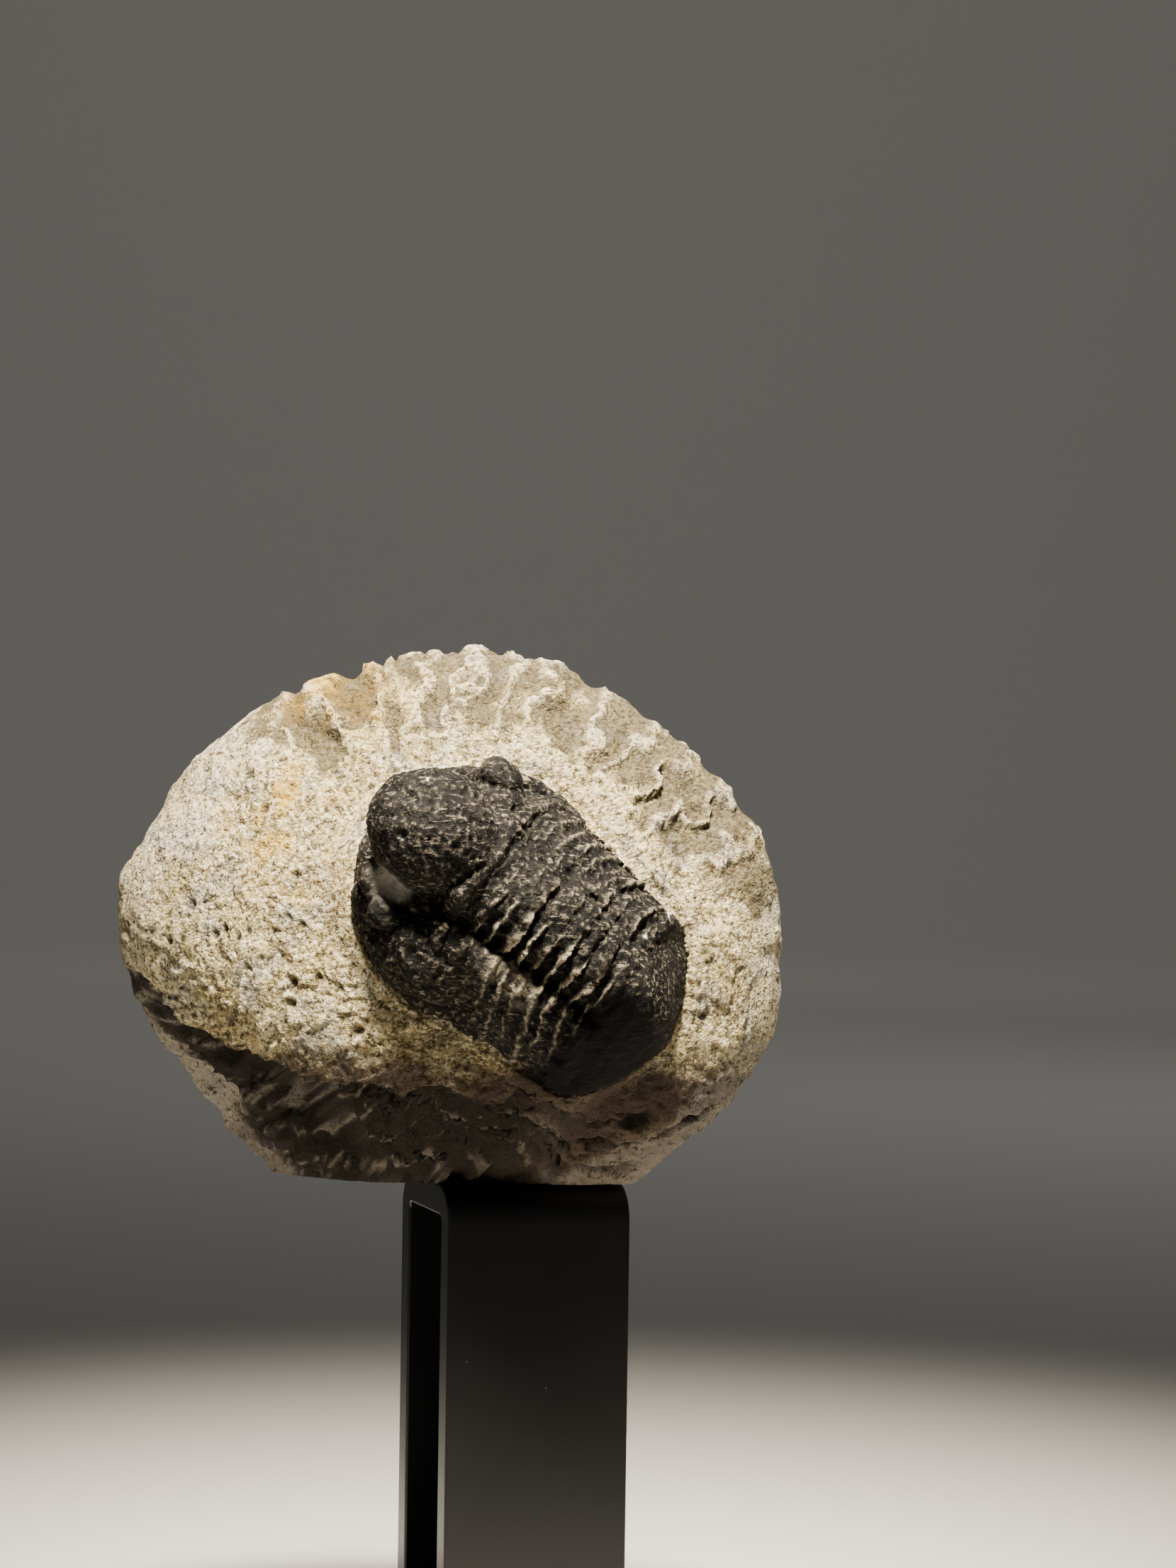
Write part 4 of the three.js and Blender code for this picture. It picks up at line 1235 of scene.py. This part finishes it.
def buildTrilobite():
    pieces = [thoraxNodes(), tailShield(), cheeks(), glabellaBall(), occipitalRing()]
    pieces += [eyeTurret(head["leftEye"]), eyeTurret(head["rightEye"])]
    pieces += [swelling(*shape) for shape in swellings.values()]
    whole = joinPieces("trilobiteShell", pieces)
    remesh = whole.modifiers.new("skin", "REMESH")
    remesh.mode = "VOXEL"
    remesh.voxel_size = skin["voxel"]
    whole = plainMesh(whole, "trilobiteShell")
    data = whole.data
    links, count = meshLinks(data)
    p = pointsOf(data)
    for _ in range(skin["smoothing"]):
        p = 0.4 * p + 0.6 * neighbourMean(p, links, count)
    facetWay = p - eyeFacet["centre"]
    flat = np.exp(-((np.linalg.norm(facetWay, axis=1) / eyeFacet["radius"]) ** 4))
    facetToward = unit(eyeFacet["toward"])
    p = p - (0.9 * flat * (facetWay @ facetToward))[:, None] * facetToward
    setPoints(data, p)
    normals = np.empty(len(p) * 3)
    data.vertices.foreach_get("normal", normals)
    normals = normals.reshape(-1, 3)

    # tubercles on the glabella, finer grains and shallow pits elsewhere
    fromGlabella = np.linalg.norm((p - head["glabellaCentre"]) / head["glabellaHalf"], axis=1)
    onGlabella = smoothStep(fromGlabella, 1.1, 0.95) * smoothStep(p[:, 2], 3.0, 6.0)
    onTail = smoothStep(-p[:, 1], 13.0, 16.0)
    _, spot, number = nearestSpots(p, skin["tubercleSpacing"])
    tubercle = smoothStep(spot, 0.55, 0.1) * (0.3 + 0.7 * number)
    onEye = np.exp(-((np.linalg.norm(p - skin["rightEye"], axis=1) / 3.2) ** 4))
    _, pitSpot, pitNumber = nearestSpots(p, skin["pitSpacing"], 4.0)
    pits = np.where(pitNumber < skin["pitShare"], smoothStep(pitSpot, 0.25, 0.05), 0)
    kept = 1 - 0.65 * np.maximum(onTail, onEye)
    scratches = skin["scratch"] * ridges(p / skin["scratchStretch"], 1.3, 3, 44.0) * (1 - onGlabella)
    raised, sunk, wall, rib = ringCrests(p)
    lift = skin["tubercle"] * tubercle * onGlabella
    lift += (bumps(skin["grain"], p) + scratches - skin["pit"] * pits) * kept
    lift = lift * (1 - 0.8 * flat)
    lift += raised * (crests["ring"] * wall + crests["rib"] * rib) - sunk * crests["trough"] * (wall + 0.5 * rib)
    p = p + normals * lift[:, None]
    bulge = ((p - neighbourMean(p, links, count)) * normals).sum(1)
    for _ in range(2):
        bulge = 0.5 * bulge + 0.5 * neighbourMean(bulge, links, count)
    data.name = "trilobiteShell"
    setPoints(data, moved(p, specimenToRow @ trilobiteToSpecimen))
    # the left side lobe is painted pale beside the furrow, a painted highlight
    beside = np.exp(-(((p[:, 0] + 9.2) / 1.7) ** 2) - ((p[:, 1] + 3.0) / 4.2) ** 4)
    litBesideFurrow = 0.4 * beside * smoothStep(rubble(p, 1.6, 3, 91.0), -0.5, 0.3)
    # pale paint on bulges and ring crests is partly wear and partly painted highlight; the facet and the strip
    # beside the left furrow are painted highlight
    worn = 0.6 * smoothStep(bulge, 0.02, 0.07) * (1 - 0.7 * onTail) + 0.9 * raised * (wall + 0.7 * rib) ** 2
    # painted shade: the tail's left side near black, the troughs between crests and concave creases darker; the
    # left eye painted dark
    tailSide = smoothStep(-p[:, 1], 11.0, 14.0) * smoothStep(-p[:, 0], 0.0, 2.5)
    leftEye = np.exp(-((np.linalg.norm(p - skin["leftEye"], axis=1) / 2.6) ** 4))
    trough = 0.75 * sunk * (wall + 0.5 * rib)
    dark = np.max([0.75 * smoothStep(-bulge, 0.012, 0.05), trough, tailSide, 0.9 * leftEye], axis=0)
    flecks = np.zeros(len(p))
    seenX = p[:, 0] * math.cos(trilobite["lean"]) + p[:, 2] * math.sin(trilobite["lean"])
    ragged = 0.25 * rubble(p, 0.6, 2, 61.0)
    for x, y, radius in whiteFlecks:
        flecks += smoothStep(np.hypot(seenX - x, p[:, 1] - y) + ragged, radius, 0.5 * radius)
    paints = {
        "worn": worn + litBesideFurrow + 0.75 * flat,
        "hollow": dark - flat - litBesideFurrow,
        "fleck": (flecks + 0.35 * flat) * (p[:, 2] > 1),
    }
    setAttributes(data, paints)
    data.shade_smooth()
    data.materials.clear()
    data.materials.append(shellMaterial)
    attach(whole, "root")
    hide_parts("trilobite")
    print("trilobite:", len(data.polygons), "faces")


buildTrilobite()


# Stand: one strip of sheet bent twice, on a plain foot plate
stand = {"sheet": 4.0, "bendRadius": 5.0, "bendSteps": 20, "edge": 0.35, "footCorner": 5.0, "footEdge": 0.6}


def finishEdges(piece, width):
    bevel = piece.modifiers.new("edges", "BEVEL")
    bevel.width = width
    bevel.segments = 3
    bevel.limit_method = "ANGLE"
    bevel.angle_limit = math.radians(40)
    bevel.harden_normals = True
    piece.data.shade_smooth()
    plainMesh(piece, piece.name)


def extruded(name, outline, low, high, toPoint):
    count = len(outline)
    points = [toPoint(a, b, low) for a, b in outline] + [toPoint(a, b, high) for a, b in outline]
    sides = [(i, (i + 1) % count, count + (i + 1) % count, count + i) for i in range(count)]
    piece = meshObject(name, points, np.zeros((0, 3), int))
    shape = bmesh.new()
    corners = [shape.verts.new(p) for p in points]
    for side in sides:
        shape.faces.new([corners[i] for i in side])
    shape.faces.new(corners[:count][::-1])
    shape.faces.new(corners[count:])
    bmesh.ops.recalc_face_normals(shape, faces=shape.faces[:])
    shape.to_mesh(piece.data)
    shape.free()
    return piece


def arc(centreA, centreB, radius, first, last, steps):
    turns = np.radians(np.linspace(first, last, steps))
    return [(centreA + radius * math.cos(t), centreB + radius * math.sin(t)) for t in turns]


def buildStand():
    low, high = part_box("riser")
    sheet, outer, steps = stand["sheet"] * mm, stand["bendRadius"] * mm, stand["bendSteps"]
    inner = outer - sheet
    bendZ = high.z - outer
    outline = [(low.y, low.z), (low.y + sheet, low.z)]
    outline += arc(low.y + outer, bendZ, inner, 180, 90, steps) + arc(high.y - outer, bendZ, inner, 90, 0, steps)
    outline += [(high.y - sheet, low.z), (high.y, low.z)]
    outline += arc(high.y - outer, bendZ, outer, 0, 90, steps) + arc(low.y + outer, bendZ, outer, 90, 180, steps)
    riser = extruded("riser", outline, low.x, high.x, lambda a, b, c: (c, a, b))
    riser.name = "riserSheet"
    low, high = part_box("foot_plate")
    corner = stand["footCorner"] * mm
    outline = []
    for x, y, turn in ((high.x, high.y, 0), (low.x, high.y, 90), (low.x, low.y, 180), (high.x, low.y, 270)):
        outline += arc(x - math.copysign(corner, x), y - math.copysign(corner, y), corner, turn, turn + 90, 12)
    foot = extruded("footPlate", outline, low.z, high.z, lambda a, b, c: (a, b, c))
    for piece, node, width in ((riser, "riser", stand["edge"]), (foot, "foot_plate", stand["footEdge"])):
        finishEdges(piece, width * mm)
        piece.data.materials.append(acrylicMaterial)
        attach(piece, "root")
        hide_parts(node)
    print("stand ready")


buildStand()


# Studio, m: a pale dish for floor and backdrop, and soft lights that wash its wall evenly
studio = {
    "flatRadius": 2.2,
    "curveRadius": 1.2,
    "wall": 2.5,
    "around": 96,
    "sky": "#e6e4e0",
    "skyStrength": 0.05,
    "washLights": 3,
    "washFirst": 75,
    "washAway": 1.3,
    "washHeight": 1.7,
    "washAim": 0.5,
    "washSize": 1.2,
    "washPower": 7.0,
}
# A narrow warm light from above, a weak fill from the left and a light from behind for the rim
lights = {
    "overhead": {
        "spot": (-0.06, -0.22, 0.63),
        "aim": (0, -0.02, 0.1),
        "size": 0.12,
        "power": 0.98,
        "spread": 34,
        "hexText": "#fff4e2",
    },
    "leftFill": {"spot": (-0.8, -0.9, 0.35), "aim": (0, 0, 0.1), "size": 0.6, "power": 0.3},
    "rearRim": {"spot": (0.6, 0.8, 0.7), "aim": (0, 0, 0.1), "size": 0.5, "power": 1.0},
}


def buildStudio():
    flat, curve, around = studio["flatRadius"], studio["curveRadius"], studio["around"]
    profile = [(flat, 0.0)]
    for t in np.linspace(0.1, math.pi / 2, 12):
        profile.append((flat + curve * math.sin(t), curve * (1 - math.cos(t))))
    profile.append((flat + curve, studio["wall"]))
    turn = np.linspace(0, 2 * math.pi, around, endpoint=False)
    points = [(0.0, 0.0, 0.0)]
    for radius, height in profile:
        points += [(radius * math.cos(t), radius * math.sin(t), height) for t in turn]
    faces = [(0, 1 + i, 1 + (i + 1) % around) for i in range(around)]
    for r in range(len(profile) - 1):
        for i in range(around):
            a, b = 1 + r * around + i, 1 + r * around + (i + 1) % around
            faces.append((a, a + around, b + around, b))
    floor = bpy.data.meshes.new("floor")
    floor.from_pydata(points, [], faces)
    floor.shade_smooth()
    piece = inScene("floor", floor)
    floor.materials.append(paleFloor())

    world = bpy.data.worlds.new("studio")
    bpy.context.scene.world = world
    world.use_nodes = True
    sky = world.node_tree.nodes["Background"]
    sky.inputs["Color"].default_value = linearColour(studio["sky"])
    sky.inputs["Strength"].default_value = studio["skyStrength"]


def softLight(name, spot, aim, size, power, spread=180, hexText="#ffffff"):
    data = bpy.data.lights.new(name, "AREA")
    data.shape = "DISK"
    data.size = size
    data.energy = power
    data.color = linearColour(hexText)[:3]
    data.spread = math.radians(spread)
    light = inScene(name, data)
    light.location = spot
    light.rotation_euler = (Vector(aim) - Vector(spot)).to_track_quat("-Z", "Y").to_euler()


buildStudio()
for name, settings in lights.items():
    softLight(name, **settings)
reach = studio["flatRadius"] + studio["curveRadius"]
for i in range(studio["washLights"]):
    turn = math.radians(studio["washFirst"] + 360 / studio["washLights"] * i)
    spot = (studio["washAway"] * math.cos(turn), studio["washAway"] * math.sin(turn), studio["washHeight"])
    aim = (reach * math.cos(turn), reach * math.sin(turn), studio["washAim"])
    softLight("backdropWash", spot, aim, studio["washSize"], studio["washPower"])

print("scene ready")
